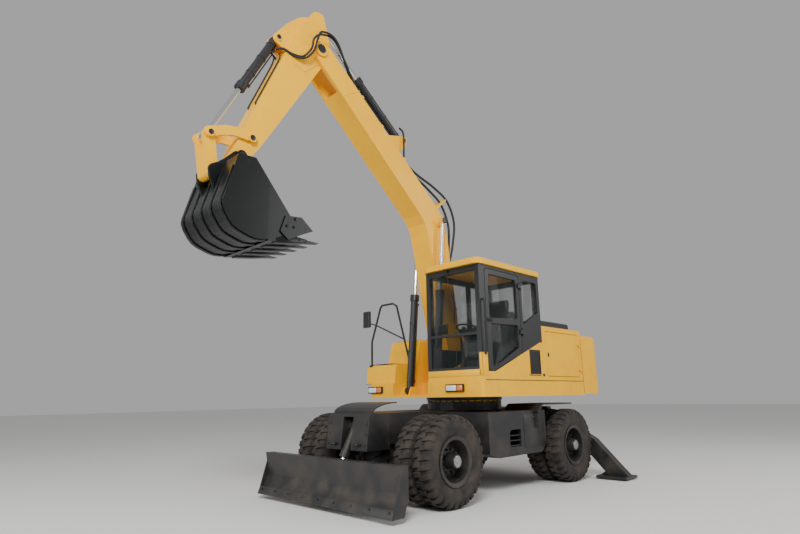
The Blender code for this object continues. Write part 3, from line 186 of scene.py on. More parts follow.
# ---------------------------------------------------------------- black paint of the chassis
# The same paint on the frame, axles, blade and outriggers, greyed by dust that is splashed up from the ground.
road_black = Finish("road_black", (0.018, 0.018, 0.019), 0.5)
splash = road_black.span(road_black.noise(4.0, 8.0), 0.42, 0.78)
near_ground = 1.0 - road_black.span(road_black.height(), 0.1, 1.4)
film = splash * (near_ground * 0.24 + 0.05)
road_black.set("Base Color", road_black.blend(film, (0.017, 0.017, 0.018), DUST))
road_black.set("Roughness", film * 0.8 + 0.40)
road_black.bump(road_black.noise(120.0, 3.0), 0.05, 0.003)
coat_nodes(road_black, "chassis_frame", "front_box", "splash_plate", "step_box_left", "step_box_right", "front_axle",
           "rear_axle", "blade", "blade_cylinder_barrel", "outrigger_left", "outrigger_right",
           "outrigger_cylinder_barrel_left", "outrigger_cylinder_barrel_right", "steering_knuckle_left",
           "steering_knuckle_right", "rim_front_left", "rim_front_right", "rim_rear_left", "rim_rear_right")

# ---------------------------------------------------------------- chromed rods
# Hard chromed and ground steel, wiped by the seals.
chromed = Finish("chromed_rod", (0.80, 0.80, 0.82), 0.14, metallic=1.0)
coat_nodes(chromed, "boom_cylinder_rod_left", "boom_cylinder_rod_right", "arm_cylinder_rod", "bucket_cylinder_rod",
           "blade_cylinder_rod", "outrigger_cylinder_rod_left", "outrigger_cylinder_rod_right")

# ---------------------------------------------------------------- bucket
# Thick plate painted black and rubbed in patches. Five adaptors with lock pins carry the teeth, bolts hold
# the side cutters, and five wear strips are welded round the heel.
bucket_black = Finish("bucket_black", (0.005, 0.0055, 0.006), 0.34, coat=0.1)
bucket_black.set("Specular IOR Level", 0.3)
rubbed = bucket_black.span(bucket_black.noise(14.0, 6.0), 0.60, 0.85)
bucket_black.set("Base Color", bucket_black.blend(rubbed * 0.4, (0.005, 0.0055, 0.006), (0.04, 0.037, 0.034)))
bucket_black.set("Roughness", rubbed * 0.3 + 0.28)
coat_nodes(bucket_black, "bucket")

BOOM_Y = -0.13
BOOM_FOOT = Vector((0.21 + SLEW_X, BOOM_Y, 1.80))
BOOM_LENGTH, ARM_LENGTH = 4.87, 2.18
BOOM_ANGLE, ARM_ANGLE, BUCKET_ANGLE = 57.1, -60.3, -132.8


def linked(origin, angle):
    """Turns a link's own points into the machine's."""
    a = math.radians(angle)

    def point(x, z, y=0.0):
        return origin + Vector((x * math.cos(a) - z * math.sin(a), y, x * math.sin(a) + z * math.cos(a)))

    return point


on_boom = linked(BOOM_FOOT, BOOM_ANGLE)
ARM_PIVOT = on_boom(BOOM_LENGTH, 0.0)
on_arm = linked(ARM_PIVOT, ARM_ANGLE)
BUCKET_PIN = on_arm(ARM_LENGTH, 0.0)


def placed(name):
    """Names the new primitive and puts its place into its mesh."""
    piece = bpy.context.active_object
    bpy.ops.object.transform_apply(location=True, rotation=True, scale=True)
    piece.name = piece.data.name = name
    return piece


def soften(piece, width, segments=2):
    """Rounds a piece's edges."""
    if width > 0:
        bpy.context.view_layer.objects.active = piece
        bevel = piece.modifiers.new("Bevel", "BEVEL")
        bevel.width, bevel.segments = width, segments
        bevel.limit_method, bevel.angle_limit = "ANGLE", math.radians(40)
        bpy.ops.object.modifier_apply(modifier="Bevel")
    return piece


def block(name, low, high, edge=0.003, segments=2):
    """A box between two corners with softened edges."""
    low, high = Vector(low), Vector(high)
    bpy.ops.object.select_all(action="DESELECT")
    bpy.ops.mesh.primitive_cube_add(size=1, location=(low + high) / 2, scale=high - low)
    return soften(placed(name), edge, segments)


def rod(name, start, end, radius, sides=24, edge=0.002):
    """A round bar between two points with softened rims."""
    start, end = Vector(start), Vector(end)
    bpy.ops.object.select_all(action="DESELECT")
    bpy.ops.mesh.primitive_cone_add(
        vertices=sides,
        radius1=radius,
        radius2=radius,
        depth=(end - start).length,
        location=(start + end) / 2,
        rotation=(end - start).to_track_quat("Z", "Y").to_euler(),
    )
    return soften(placed(name), edge, 2)


def collar(name, start, end, inner, outer, sides=24):
    """A round ring between two points, open for a rod."""
    start, end = Vector(start), Vector(end)
    bpy.ops.object.select_all(action="DESELECT")
    bpy.ops.mesh.primitive_cylinder_add(
        vertices=sides,
        radius=outer,
        depth=(end - start).length,
        end_fill_type="NOTHING",
        location=(start + end) / 2,
        rotation=(end - start).to_track_quat("Z", "Y").to_euler(),
    )
    piece = placed(name)
    wall = piece.modifiers.new("Wall", "SOLIDIFY")
    wall.thickness, wall.offset = outer - inner, -1
    bpy.ops.object.modifier_apply(modifier="Wall")
    return soften(piece, 0.0015, 1)


def plate(name, outline, low, high, edge=0.003):
    """A flat outline of (x, z) points given thickness from one y to another."""
    bpy.ops.object.select_all(action="DESELECT")
    bpy.ops.mesh.primitive_circle_add(vertices=len(outline), radius=1, fill_type="NGON")
    piece = placed(name)
    for vertex, (x, z) in zip(piece.data.vertices, outline):
        vertex.co = (x, low, z)
    bpy.ops.object.mode_set(mode="EDIT")
    bpy.ops.mesh.select_all(action="SELECT")
    bpy.ops.mesh.extrude_region_move(TRANSFORM_OT_translate={"value": (0, high - low, 0)})
    bpy.ops.mesh.select_all(action="SELECT")
    bpy.ops.mesh.normals_make_consistent(inside=False)
    bpy.ops.object.mode_set(mode="OBJECT")
    return soften(piece, edge, 2)


def copied(piece, matrix):
    """A copy of a piece with its own mesh, moved by a matrix."""
    other = piece.copy()
    other.data = piece.data.copy()
    other.data.transform(matrix)
    if matrix.determinant() < 0:
        other.data.flip_normals()
    bpy.context.scene.collection.objects.link(other)
    return other


def together(name, pieces):
    """Joins pieces into one."""
    bpy.ops.object.select_all(action="DESELECT")
    for piece in pieces:
        piece.select_set(True)
    bpy.context.view_layer.objects.active = pieces[0]
    if len(pieces) > 1:
        bpy.ops.object.join()
    pieces[0].name = pieces[0].data.name = name
    return pieces[0]


def settle(piece, body, finish, angle=35):
    """Paints a finished piece and lets it ride on its body, if one is given."""
    piece.data.materials.clear()
    piece.data.materials.append(finish.material)
    bpy.ops.object.select_all(action="DESELECT")
    piece.select_set(True)
    bpy.context.view_layer.objects.active = piece
    bpy.ops.object.shade_smooth_by_angle(angle=math.radians(angle))
    if body:
        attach(piece, body)
    return piece


def tilted(piece, origin, angle):
    """Moves a piece drawn in a link's own frame onto the machine."""
    piece.data.transform(Matrix.Translation(origin) @ Matrix.Rotation(-math.radians(angle), 4, "Y"))
    return piece


STRIP_PITCH = 0.225
rows = [k * STRIP_PITCH for k in range(-2, 3)]
nose = [(0.985, 0.25), (1.08, 0.215), (1.175, 0.125), (1.20, 0.16), (1.10, 0.315), (0.97, 0.50), (0.93, 0.475)]
strips = []
for y in rows:
    strips.append(plate("adaptor", nose, y - 0.052, y + 0.052, 0.006))
    strips.append(rod("lock_pin", (1.12, y - 0.06, 0.215), (1.12, y + 0.06, 0.215), 0.012, 12))
heel = [(0.955, 0.470), (0.845, 0.633), (0.793, 0.692), (0.735, 0.735), (0.615, 0.800), (0.550, 0.822),
        (0.476, 0.823), (0.368, 0.806), (0.302, 0.780), (0.264, 0.737), (0.120, 0.507), (0.040, 0.378)]
ways = [(Vector(after) - Vector(before)).normalized()
        for before, after in zip([heel[0]] + heel[:-1], heel[1:] + [heel[-1]])]
outside = [(x + way.y * 0.014, z - way.x * 0.014) for (x, z), way in zip(heel, ways)]
inside = [(x - way.y * 0.004, z + way.x * 0.004) for (x, z), way in zip(heel, ways)]
for y in rows:
    strips.append(plate("wear_strip", outside + inside[::-1], y - 0.030, y + 0.030, 0.002))
for side in (-1, 1):
    for x, z in ((0.90, 0.12), (0.96, 0.20), (0.90, 0.27)):
        strips.append(rod("bolt", (x, side * 0.515, z), (x, side * 0.532, z), 0.017, 6))
bucket_trim = tilted(together("bucket_teeth_adaptors", strips), BUCKET_PIN, BUCKET_ANGLE)
settle(bucket_trim, "bucket", bucket_black)

# ---------------------------------------------------------------- tyres
# Block pattern earthmover tyres, eight of them in pairs. Slanting lugs from both shoulders meet at the
# middle, and the whole tyre is grey brown with dried dust.
tread_rubber = Finish("dusty_rubber", (0.06, 0.05, 0.042), 0.85)
caked = tread_rubber.span(tread_rubber.noise(7.0, 8.0), 0.35, 0.72)
tread_rubber.set("Base Color", tread_rubber.blend(caked * 0.75, (0.018, 0.016, 0.015), (0.075, 0.056, 0.042)))
tread_rubber.bump(tread_rubber.noise(60.0, 5.0), 0.25, 0.004)
LUGS = 30
bpy.ops.object.select_all(action="DESELECT")
bpy.ops.mesh.primitive_circle_add(vertices=18, radius=1, fill_type="NOTHING")
carcass = placed("tyre")
section = [(-0.094, 0.262), (-0.096, 0.292), (-0.110, 0.315), (-0.124, 0.350), (-0.1295, 0.400),
           (-0.127, 0.440), (-0.118, 0.470), (-0.100, 0.490), (-0.060, 0.497)]
section += [(-y, r) for y, r in reversed(section)]
for vertex, (y, r) in zip(carcass.data.vertices, section):
    vertex.co = (r, y, 0)
bpy.ops.object.mode_set(mode="EDIT")
bpy.ops.mesh.select_all(action="SELECT")
bpy.ops.mesh.spin(steps=60, angle=2 * math.pi, center=(0, 0, 0), axis=(0, 1, 0))
bpy.ops.mesh.select_all(action="SELECT")
bpy.ops.mesh.remove_doubles(threshold=0.0005)
bpy.ops.mesh.normals_make_consistent(inside=False)
bpy.ops.object.mode_set(mode="OBJECT")

bpy.ops.object.select_all(action="DESELECT")
bpy.ops.mesh.primitive_cube_add(size=1, location=(0.5, 0.5, 0), scale=(1, 1, 1))
lug = placed("lug")
bpy.ops.object.mode_set(mode="EDIT")
for share in (0.35, 0.62, 0.80):
    bpy.ops.mesh.select_all(action="SELECT")
    bpy.ops.mesh.bisect(plane_co=(0, share, 0), plane_no=(0, 1, 0))
bpy.ops.object.mode_set(mode="OBJECT")
stations = {0.0: (-0.016, 0.5205), 0.35: (0.040, 0.5200), 0.62: (0.088, 0.5160), 0.80: (0.121, 0.4960),
            1.0: (0.1305, 0.452)}
for vertex in lug.data.vertices:
    share = min(stations, key=lambda s: abs(s - vertex.co.y))
    y, reach = stations[share]
    radius = reach if vertex.co.x > 0.5 else min(0.487, reach - 0.012)
    half = (0.026 + 0.008 * share) / 0.52
    lean = 0.075 * min(share, 0.80)
    angle = lean + (half if vertex.co.z > 0 else -half) * (1.0 if vertex.co.x > 0.5 else 1.12)
    vertex.co = (radius * math.cos(angle), y, radius * math.sin(angle))
soften(lug, 0.004, 1)
bpy.ops.object.select_all(action="DESELECT")
lugs = []
for k in range(LUGS):
    around = Matrix.Rotation(2 * math.pi * k / LUGS, 4, "Y")
    lugs.append(copied(lug, around))
    shift = Matrix.Rotation(2 * math.pi * (k + 0.5) / LUGS, 4, "Y")
    lugs.append(copied(lug, shift @ Matrix.Rotation(math.pi, 4, "X")))
bpy.data.objects.remove(lug)
tyre = together("tyre", [carcass] + lugs)
for end in ("front", "rear"):
    for word in ("left", "right"):
        for place in ("outer", "inner"):
            low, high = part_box(f"tyre_{end}_{word}_{place}")
            centre = (Vector(low) + Vector(high)) / 2
            spin = Matrix.Rotation(0.35 * len(place + word + end), 4, "Y")
            worn = copied(tyre, Matrix.Translation(centre) @ spin)
            worn.name = f"tyre_{end}_{word}_{place}_tread"
            settle(worn, f"wheel_{end}_{word}", tread_rubber, 30)
            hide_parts(f"tyre_{end}_{word}_{place}")
bpy.data.objects.remove(tyre)

# ---------------------------------------------------------------- wheel nuts and hubs
# Ten nuts clamp each disc. The outer hub is a turned steel drum with a bolted cover.
bare_steel = Finish("bare_steel", (0.42, 0.41, 0.40), 0.38, metallic=1.0)
HUB_FACE = 1.218


def bolt_circle(count, radius):
    """Places spread evenly round a centre."""
    angles = [2 * math.pi * k / count for k in range(count)]
    return [(radius * math.cos(a), radius * math.sin(a)) for a in angles]


hub_parts = [rod("hub_cover", (0, -0.020, 0), (0, 0.014, 0), 0.066, 32, edge=0.006),
             rod("hub_boss", (0, 0, 0), (0, 0.022, 0), 0.030, 24)]
for x, z in bolt_circle(8, 0.050):
    hub_parts.append(rod("screw", (x, 0.012, z), (x, 0.020, z), 0.007, 6, edge=0.001))
hub = together("hub", hub_parts)
nut_parts = []
for x, z in bolt_circle(10, 0.132):
    nut_parts.append(rod("nut", (x, -0.150, z), (x, -0.100, z), 0.015, 6, edge=0.0015))
    nut_parts.append(rod("stud", (x, -0.102, z), (x, -0.086, z), 0.009, 12, edge=0.001))
nut_ring = together("nuts", nut_parts)
for end in ("front", "rear"):
    for word, side in (("left", 1), ("right", -1)):
        low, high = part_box(f"rim_{end}_{word}")
        face = Vector(((low[0] + high[0]) / 2, side * HUB_FACE, (low[2] + high[2]) / 2))
        flip = Matrix.Identity(4) if side > 0 else Matrix.Rotation(math.pi, 4, "X")
        made = copied(hub, Matrix.Translation(face) @ flip)
        made.name = f"hub_{end}_{word}"
        settle(made, f"wheel_{end}_{word}", bare_steel)
        made = copied(nut_ring, Matrix.Translation(face) @ flip)
        made.name = f"wheel_nuts_{end}_{word}"
        settle(made, f"wheel_{end}_{word}", road_black)
bpy.data.objects.remove(hub)
bpy.data.objects.remove(nut_ring)

# ---------------------------------------------------------------- cab glass
# Tinted safety glass, 6 mm thick. Each pane is a little larger than its opening and lies inside the wall.
tinted = Finish("tinted_glass", (0.02, 0.03, 0.028), 0.04)
tinted.set("Alpha", 0.20)
tinted.set("IOR", 1.5)
CAB_LEFT, CAB_RIGHT = 1.16, 0.215
CAB_FRONT, CAB_REAR = 1.03 + SLEW_X, -0.44 + SLEW_X
PANE_OUT, PANE_IN = 0.016, 0.022
SIDE_OUT, SIDE_IN = CAB_LEFT - 0.020, CAB_LEFT - 0.026
PANE_TOP = 2.905
front_out, front_in = CAB_FRONT - PANE_OUT, CAB_FRONT - PANE_IN
rear_out, rear_in = CAB_REAR + PANE_OUT, CAB_REAR + PANE_IN
right_out, right_in = CAB_RIGHT + PANE_OUT, CAB_RIGHT + PANE_IN
quarter = [(-0.372 + SLEW_X, 2.435), (0.032 + SLEW_X, 2.215), (0.032 + SLEW_X, 2.882), (-0.372 + SLEW_X, 2.882)]
panes = [
    block("front_pane_upper", (front_in, 0.28, 2.065), (front_out, 1.095, PANE_TOP), 0.001),
    block("front_pane_lower", (front_in, 0.28, 1.615), (front_out, 1.095, 2.040), 0.001),
    block("rear_pane", (rear_out, 0.31, 2.215), (rear_in, 1.065, PANE_TOP), 0.001),
    block("right_pane_front", (0.115 + SLEW_X, right_out, 1.895), (0.935 + SLEW_X, right_in, PANE_TOP), 0.001),
    block("right_pane_rear", (-0.355 + SLEW_X, right_out, 2.155), (0.065 + SLEW_X, right_in, PANE_TOP), 0.001),
    plate("left_quarter_pane", quarter, SIDE_IN, SIDE_OUT, 0.001),
]
settle(together("cab_panes", panes), "upper", tinted)
upper = [(0.165 + SLEW_X, 2.295), (0.835 + SLEW_X, 2.255), (0.835 + SLEW_X, 2.865), (0.165 + SLEW_X, 2.865)]
lower = [(0.165 + SLEW_X, 1.935), (0.725 + SLEW_X, 1.625), (0.805 + SLEW_X, 1.625), (0.805 + SLEW_X, 2.195),
         (0.165 + SLEW_X, 2.215)]
door_panes = [plate("upper", upper, SIDE_IN, SIDE_OUT, 0.001), plate("lower", lower, SIDE_IN, SIDE_OUT, 0.001)]
settle(together("door_panes", door_panes), "cab_door", tinted)

# ---------------------------------------------------------------- cab fittings outside
# A wiper on the front pane, a grab rail beside the door, a door handle, the air grille and a lock plate
# under the quarter window, yellow covers at the front corner, and an aerial foot and a vent cap on the roof.
rubber_black = Finish("rubber_black", (0.012, 0.012, 0.012), 0.62)


def smooth_line(points, steps=8):
    """More points on a curve through the given ones."""
    points = [Vector(p) for p in points]
    ends = [points[0] * 2 - points[1]] + points + [points[-1] * 2 - points[-2]]
    line = []
    for i in range(len(points) - 1):
        a, b, c, d = ends[i : i + 4]
        for k in range(steps):
            t = k / steps
            square, cube = 2 * a - 5 * b + 4 * c - d, 3 * b - a - 3 * c + d
            line.append(0.5 * (2 * b + (c - a) * t + square * t * t + cube * t**3))
    return line + [points[-1]]


def tube(name, points, radius, curved=True, steps=8, resolution=3):
    """A bent tube or hose along points, with closed ends."""
    line = smooth_line(points, steps) if curved else [Vector(p) for p in points]
    curve = bpy.data.curves.new(name, "CURVE")
    curve.dimensions = "3D"
    spline = curve.splines.new("POLY")
    spline.points.add(len(line) - 1)
    for point, place in zip(spline.points, line):
        point.co = (*place, 1.0)
    curve.bevel_depth, curve.bevel_resolution, curve.use_fill_caps = radius, resolution, True
    piece = bpy.data.objects.new(name, curve)
    bpy.context.scene.collection.objects.link(piece)
    bpy.ops.object.select_all(action="DESELECT")
    piece.select_set(True)
    bpy.context.view_layer.objects.active = piece
    bpy.ops.object.convert(target="MESH")
    piece = bpy.context.active_object
    bpy.ops.object.mode_set(mode="EDIT")
    bpy.ops.mesh.select_all(action="SELECT")
    bpy.ops.mesh.remove_doubles(threshold=0.00005)
    bpy.ops.mesh.normals_make_consistent(inside=False)
    bpy.ops.object.mode_set(mode="OBJECT")
    return piece


x = CAB_FRONT
wiper = [
    tube("arm", [(x + 0.008, 0.62, 2.95), (x + 0.020, 0.66, 2.70), (x + 0.014, 0.72, 2.42)], 0.006),
    block("blade", (x - 0.010, 0.712, 2.20), (x + 0.012, 0.722, 2.62), 0.002),
    rod("motor", (x, 0.62, 2.95), (x + 0.03, 0.62, 2.95), 0.022),
]
settle(together("wiper", wiper), "upper", rubber_black)
bends = ((-0.01, 1.80), (0.035, 1.83), (0.035, 2.45), (-0.01, 2.48))
rail = tube("left_rail", [(x - 0.05, CAB_LEFT + out, z) for out, z in bends], 0.011)
settle(together("grab_rail", [rail]), "upper", satin_black)
slats = [block("grille", (-0.35 + SLEW_X, CAB_LEFT - 0.004, 1.52), (-0.04 + SLEW_X, CAB_LEFT + 0.006, 1.53), 0.001)]
for k in range(9):
    z = 1.555 + 0.036 * k
    slats.append(block("slat", (-0.335 + SLEW_X, CAB_LEFT - 0.004, z),
                       (-0.095 + SLEW_X, CAB_LEFT + 0.009, z + 0.014), 0.002))
slats += [
    block("slat_side", (-0.350 + SLEW_X, CAB_LEFT - 0.004, 1.54), (-0.335 + SLEW_X, CAB_LEFT + 0.010, 1.885), 0.002),
    block("slat_side", (-0.095 + SLEW_X, CAB_LEFT - 0.004, 1.54), (-0.080 + SLEW_X, CAB_LEFT + 0.010, 1.885), 0.002),
    block("slat_back", (-0.35 + SLEW_X, CAB_LEFT - 0.004, 1.54), (-0.08 + SLEW_X, CAB_LEFT + 0.003, 1.885), 0.001),
    block("lock_plate", (-0.455 + SLEW_X, CAB_LEFT - 0.004, 1.51), (-0.405 + SLEW_X, CAB_LEFT + 0.004, 1.55), 0.002),
]
settle(together("cab_grille", slats), "upper", rubber_black)
grip = ((0.785, 0.0), (0.80, 0.022), (0.86, 0.022), (0.875, 0.0))
handle = [
    block("bezel", (0.775 + SLEW_X, CAB_LEFT - 0.006, 2.205), (0.885 + SLEW_X, CAB_LEFT + 0.006, 2.262), 0.004),
    tube("pull", [(along + SLEW_X, CAB_LEFT + out, 2.235) for along, out in grip], 0.007),
]
settle(together("door_handle", handle), "cab_door", rubber_black)
corner = [
    block("side_cover", (0.915 + SLEW_X, CAB_LEFT - 0.002, 1.505), (CAB_FRONT + 0.006, CAB_LEFT + 0.005, 1.80), 0.002),
    block("front_cover", (CAB_FRONT - 0.002, CAB_LEFT - 0.045, 1.505),
          (CAB_FRONT + 0.006, CAB_LEFT + 0.005, 1.80), 0.002),
    block("sill_cover", (CAB_FRONT - 0.002, CAB_RIGHT, 1.505), (CAB_FRONT + 0.006, CAB_LEFT - 0.03, 1.585), 0.002),
]
settle(together("cab_corner_cover", corner), "upper", enamel)
roof_bits = [rod("aerial_foot", (0.55 + SLEW_X, 0.95, 3.065), (0.55 + SLEW_X, 0.95, 3.085), 0.02),
             rod("vent_cap", (-0.1 + SLEW_X, 0.69, 3.065), (-0.1 + SLEW_X, 0.69, 3.09), 0.05)]
settle(together("roof_fittings", roof_bits), "upper", satin_black)

# ---------------------------------------------------------------- lamps
# A clear and an amber lens share a black bezel at each side of the deck's front, and red lamps sit in the
# tail. All are coated plastic.
clear_lens = Finish("lamp_lens", (0.78, 0.80, 0.82), 0.12, coat=0.8)
amber_lens = Finish("amber_lens", (0.95, 0.22, 0.005), 0.15, coat=0.8)
red_lens = Finish("red_lens", (0.55, 0.01, 0.01), 0.15, coat=0.8)
x = 1.04 + SLEW_X
bezels, lenses, ambers = [], [], []
for y in (0.70, -0.86):
    bezels.append(block("bezel", (x - 0.01, y - 0.155, 1.305), (x + 0.028, y + 0.155, 1.405), 0.008))
    lenses.append(block("lens", (x + 0.015, y - 0.140, 1.318), (x + 0.034, y + 0.035, 1.392), 0.010))
    ambers.append(block("amber", (x + 0.015, y + 0.045, 1.318), (x + 0.034, y + 0.140, 1.392), 0.010))
settle(together("lamp_bezels", bezels), "upper", rubber_black)
settle(together("lamp_lenses", lenses), "upper", clear_lens)
settle(together("amber_lenses", ambers), "upper", amber_lens)
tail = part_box("counterweight")[0][0]
reds = [block("red", (tail + 0.012, s * 0.62 - 0.06, 1.36),
              (tail + 0.055, s * 0.62 + 0.06, 1.42), 0.006) for s in (-1, 1)]
settle(together("tail_lamps", reds), "upper", red_lens)

# ---------------------------------------------------------------- operator's place
# Two armrest consoles with joysticks beside the seat, a display, pedals and a rubber floor mat.
floor = 1.5115
cabin = [block("mat", (-0.35 + SLEW_X, 0.29, floor), (0.96 + SLEW_X, 1.09, floor + 0.008), 0.002)]
for y in (0.36, 0.96):
    cabin.append(block("console", (-0.08 + SLEW_X, y - 0.06, floor + 0.02),
                       (0.42 + SLEW_X, y + 0.06, floor + 0.50), 0.02))
    cabin.append(rod("stick", (0.36 + SLEW_X, y, floor + 0.48), (0.38 + SLEW_X, y, floor + 0.66), 0.012))
    cabin.append(rod("grip", (0.375 + SLEW_X, y, floor + 0.62),
                     (0.39 + SLEW_X, y, floor + 0.74), 0.026, 16, edge=0.008))
for y in (0.58, 0.76):
    cabin.append(block("pedal", (0.78 + SLEW_X, y - 0.04, floor + 0.03),
                       (0.90 + SLEW_X, y + 0.04, floor + 0.055), 0.005))
    rise = ((0.83, 0.04), (0.85, 0.22), (0.83, 0.38))
    cabin.append(tube("lever", [(along + SLEW_X, y, floor + up) for along, up in rise], 0.008))
cabin.append(block("display", (0.86 + SLEW_X, 0.30, 2.10), (0.90 + SLEW_X, 0.46, 2.24), 0.008))
arm_line = [(0.88 + SLEW_X, 0.34, 2.12), (0.90 + SLEW_X, 0.30, 2.00), (0.93 + SLEW_X, 0.272, 1.90)]
cabin.append(tube("display_arm", arm_line, 0.012))
settle(together("cab_controls", cabin), "upper", rubber_black)
cloth = Finish("seat_fabric", (0.045, 0.045, 0.048), 0.92)
cloth.bump(cloth.noise(300.0, 2.0), 0.3, 0.001)
coat_nodes(cloth, "seat")

# ---------------------------------------------------------------- pins
# At both ends of each pin of the working arm a painted boss carries the pin's black head and its bolt.
# Steel caps close the tops of the boom's two cylinders.
bosses = {"upper": [], "boom": [], "arm": [], "bucket": [], "idler": []}
pins = {body: [] for body in bosses}


def keeper(body, centre, half, radius):
    """A boss, a pin's head and a bolt on both sides of a link."""
    for side in (-1, 1):
        near = centre + Vector((0, side * (half - 0.004), 0))
        bosses[body].append(rod("boss", near, near + Vector((0, side * 0.018, 0)), radius, 28, edge=0.003))
        pins[body].append(rod("pin", near, near + Vector((0, side * 0.026, 0)), radius * 0.62, 24, edge=0.003))
        pins[body].append(rod("bolt", near, near + Vector((0, side * 0.034, 0)), radius * 0.16, 6, edge=0.001))


keeper("upper", BOOM_FOOT, 0.226, 0.085)
keeper("boom", ARM_PIVOT, 0.192, 0.105)
keeper("boom", on_boom(3.32, 0.98), 0.096, 0.055)
keeper("arm", on_arm(0.36, 0.50), 0.092, 0.052)
keeper("bucket", BUCKET_PIN, 0.171, 0.066)
keeper("idler", on_arm(1.88, 0.02), 0.154, 0.056)
keeper("idler", on_arm(2.22, 0.42), 0.154, 0.052)
for body in bosses:
    paint = bucket_black if body == "bucket" else enamel
    settle(together(f"pin_bosses_{body}", bosses[body]), body, paint)
    settle(together(f"pin_heads_{body}", pins[body]), body, satin_black)
ends = []
for s in (-1, 1):
    top = on_boom(1.95, 0.89, s * 0.307)
    ends.append(rod("cap", top - Vector((0, s * 0.004, 0)), top + Vector((0, s * 0.016, 0)), 0.050, 24, edge=0.004))
settle(together("boom_cylinder_top_caps", ends), "boom_cylinder_rods", satin_black)

# ---------------------------------------------------------------- boom plates and welds
# A weld bead runs round the boom before its fork, and the arm has a plate on each side of its pivot.
# Both are painted with the boom and the arm.
WELD_X, WELD_TOP, WELD_LOW, WELD_SIDE = 4.20, 0.386, 0.060, 0.182
corners = [(WELD_TOP, -WELD_SIDE), (WELD_TOP, WELD_SIDE), (WELD_LOW, WELD_SIDE), (WELD_LOW, -WELD_SIDE)]
line = [on_boom(WELD_X, z, y) for z, y in corners + corners[:1]]
bead = tube("bead", line, 0.006, curved=False, resolution=2)
settle(together("boom_weld", [bead]), "boom", enamel)
PIVOT_RADIUS = 0.135
angles = [math.radians(d) for d in range(60, 301, 20)]
outline = [(PIVOT_RADIUS * math.cos(a), PIVOT_RADIUS * math.sin(a)) for a in angles]
outline += [(0.12, -0.13), (0.46, -0.02), (0.50, 0.13), (0.46, 0.27), (0.12, 0.18)]
rounds = []
for s in (-1, 1):
    lo, hi = sorted((s * 0.119, s * 0.126))
    rounds.append(plate("pivot_plate", outline, lo, hi, 0.002))
arm_plates = tilted(together("arm_pivot_plates", rounds), ARM_PIVOT, ARM_ANGLE)
settle(arm_plates, "arm", enamel)

# ---------------------------------------------------------------- pipes and hoses of the working arm
# Steel pipes lie clamped along the boom's back. At the knee and at the foot hoses bridge to them, and at
# the tip hoses hang in loops over to the arm, where pipes feed the bucket's cylinder.
def back(x):
    """Height of the boom's back in the boom's frame."""
    slopes = min(0.125 + (x + 0.09) * 0.4637, 1.063 - (x - 1.933) * 0.3023)
    return slopes - (0.03 if 1.75 < x < 2.15 else 0.0)


def above(x, y, lift=0.0):
    """A pipe's place over the boom's back."""
    return on_boom(x, back(x) + 0.030 + lift, y)


pipes, clamps = [], []
for y in (-0.135, -0.095, 0.095, 0.135):
    pipes.append(tube("pipe", [above(x, y) for x in (2.90, 3.30, 3.80, 4.18)], 0.013))
    pipes.append(tube("pipe", [above(x, y) for x in (0.42, 0.80, 1.28)], 0.013))
settle(together("boom_pipes", pipes), "boom", rubber_black)
bows = []
arch = ((2.93, 0.0), (2.75, 0.22), (2.45, 0.75), (2.15, 1.0), (1.80, 0.95), (1.50, 0.50), (1.28, 0.0))
for y, lift in ((-0.135, 0.27), (-0.095, 0.20), (0.095, 0.18), (0.135, 0.30)):
    bows.append(tube("bow", [above(x, y * (1.0 + 0.12 * share), lift * share) for x, share in arch], 0.018))
    for x in (1.28, 2.93):
        bows.append(rod("nut", above(x - 0.03, y), above(x + 0.03, y), 0.022, 6))
settle(together("boom_knee_hoses", bows), "boom", rubber_black)
for x, tilt in ((0.62, 24.9), (1.15, 24.9), (3.05, -16.8), (3.62, -16.8), (4.10, -16.8)):
    for low, high in ((-0.160, -0.070), (0.070, 0.160)):
        clamp = block("clamp", (-0.022, low, -0.006), (0.022, high, 0.050), 0.004)
        clamps.append(tilted(tilted(clamp, Vector((x, 0, back(x))), tilt), BOOM_FOOT, BOOM_ANGLE))
post = tilted(block("post", (-0.015, -0.17, -0.02), (0.015, 0.17, 0.30), 0.004), Vector((2.15, 0, back(2.16))), -8)
clamps.append(tilted(post, BOOM_FOOT, BOOM_ANGLE))
settle(together("boom_pipe_clamps", clamps), "boom", enamel)
feed = []
for y in (-0.135, 0.135):
    line = [above(3.05, y), on_boom(3.20, 0.85, y * 1.05), on_boom(3.42, 1.00, y * 0.95), on_boom(3.52, 1.05, y * 0.45)]
    feed.append(tube("cylinder_hose", line, 0.015))
settle(together("arm_cylinder_hoses", feed), "boom", rubber_black)
loops = []
for side in (-1, 1):
    for y, out, dip in ((0.135, 0.236, 0.0), (0.098, 0.262, 0.035)):
        line = [
            above(4.16, side * y),
            above(4.38, side * y * 1.15, 0.030),
            on_arm(-0.26, -0.10, side * out),
            on_arm(-0.17, 0.10 + dip, side * out),
            on_arm(0.0, 0.165 - dip, side * out),
            on_arm(0.17, 0.11 - dip, side * out * 0.92),
            on_arm(0.34, 0.13 - dip, side * out * 0.72),
            on_arm(0.43, 0.25 - dip, side * 0.145),
            on_arm(0.46, 0.37, side * 0.115),
            on_arm(0.50, 0.43, side * 0.060),
        ]
        loops.append(tube("loop", line, 0.015))
loops = together("tip_hoses", loops)
settle(loops, None, rubber_black)
tuple(on_arm(-0.20, 0.0))
tuple(on_arm(0.20, 0.10))
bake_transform(loops)
lines = []
for y in (-0.085, 0.085):
    line = [on_arm(0.52, 0.36, y * 0.8), on_arm(0.62, 0.325, y), on_arm(0.95, 0.282, y), on_arm(1.40, 0.229, y)]
    lines.append(tube("line", line, 0.010))
    lines.append(rod("elbow", on_arm(1.40, 0.229, y), on_arm(1.43, 0.20, y), 0.016, 6))
settle(together("arm_pipes", lines), "arm", rubber_black)
foot_hoses = []
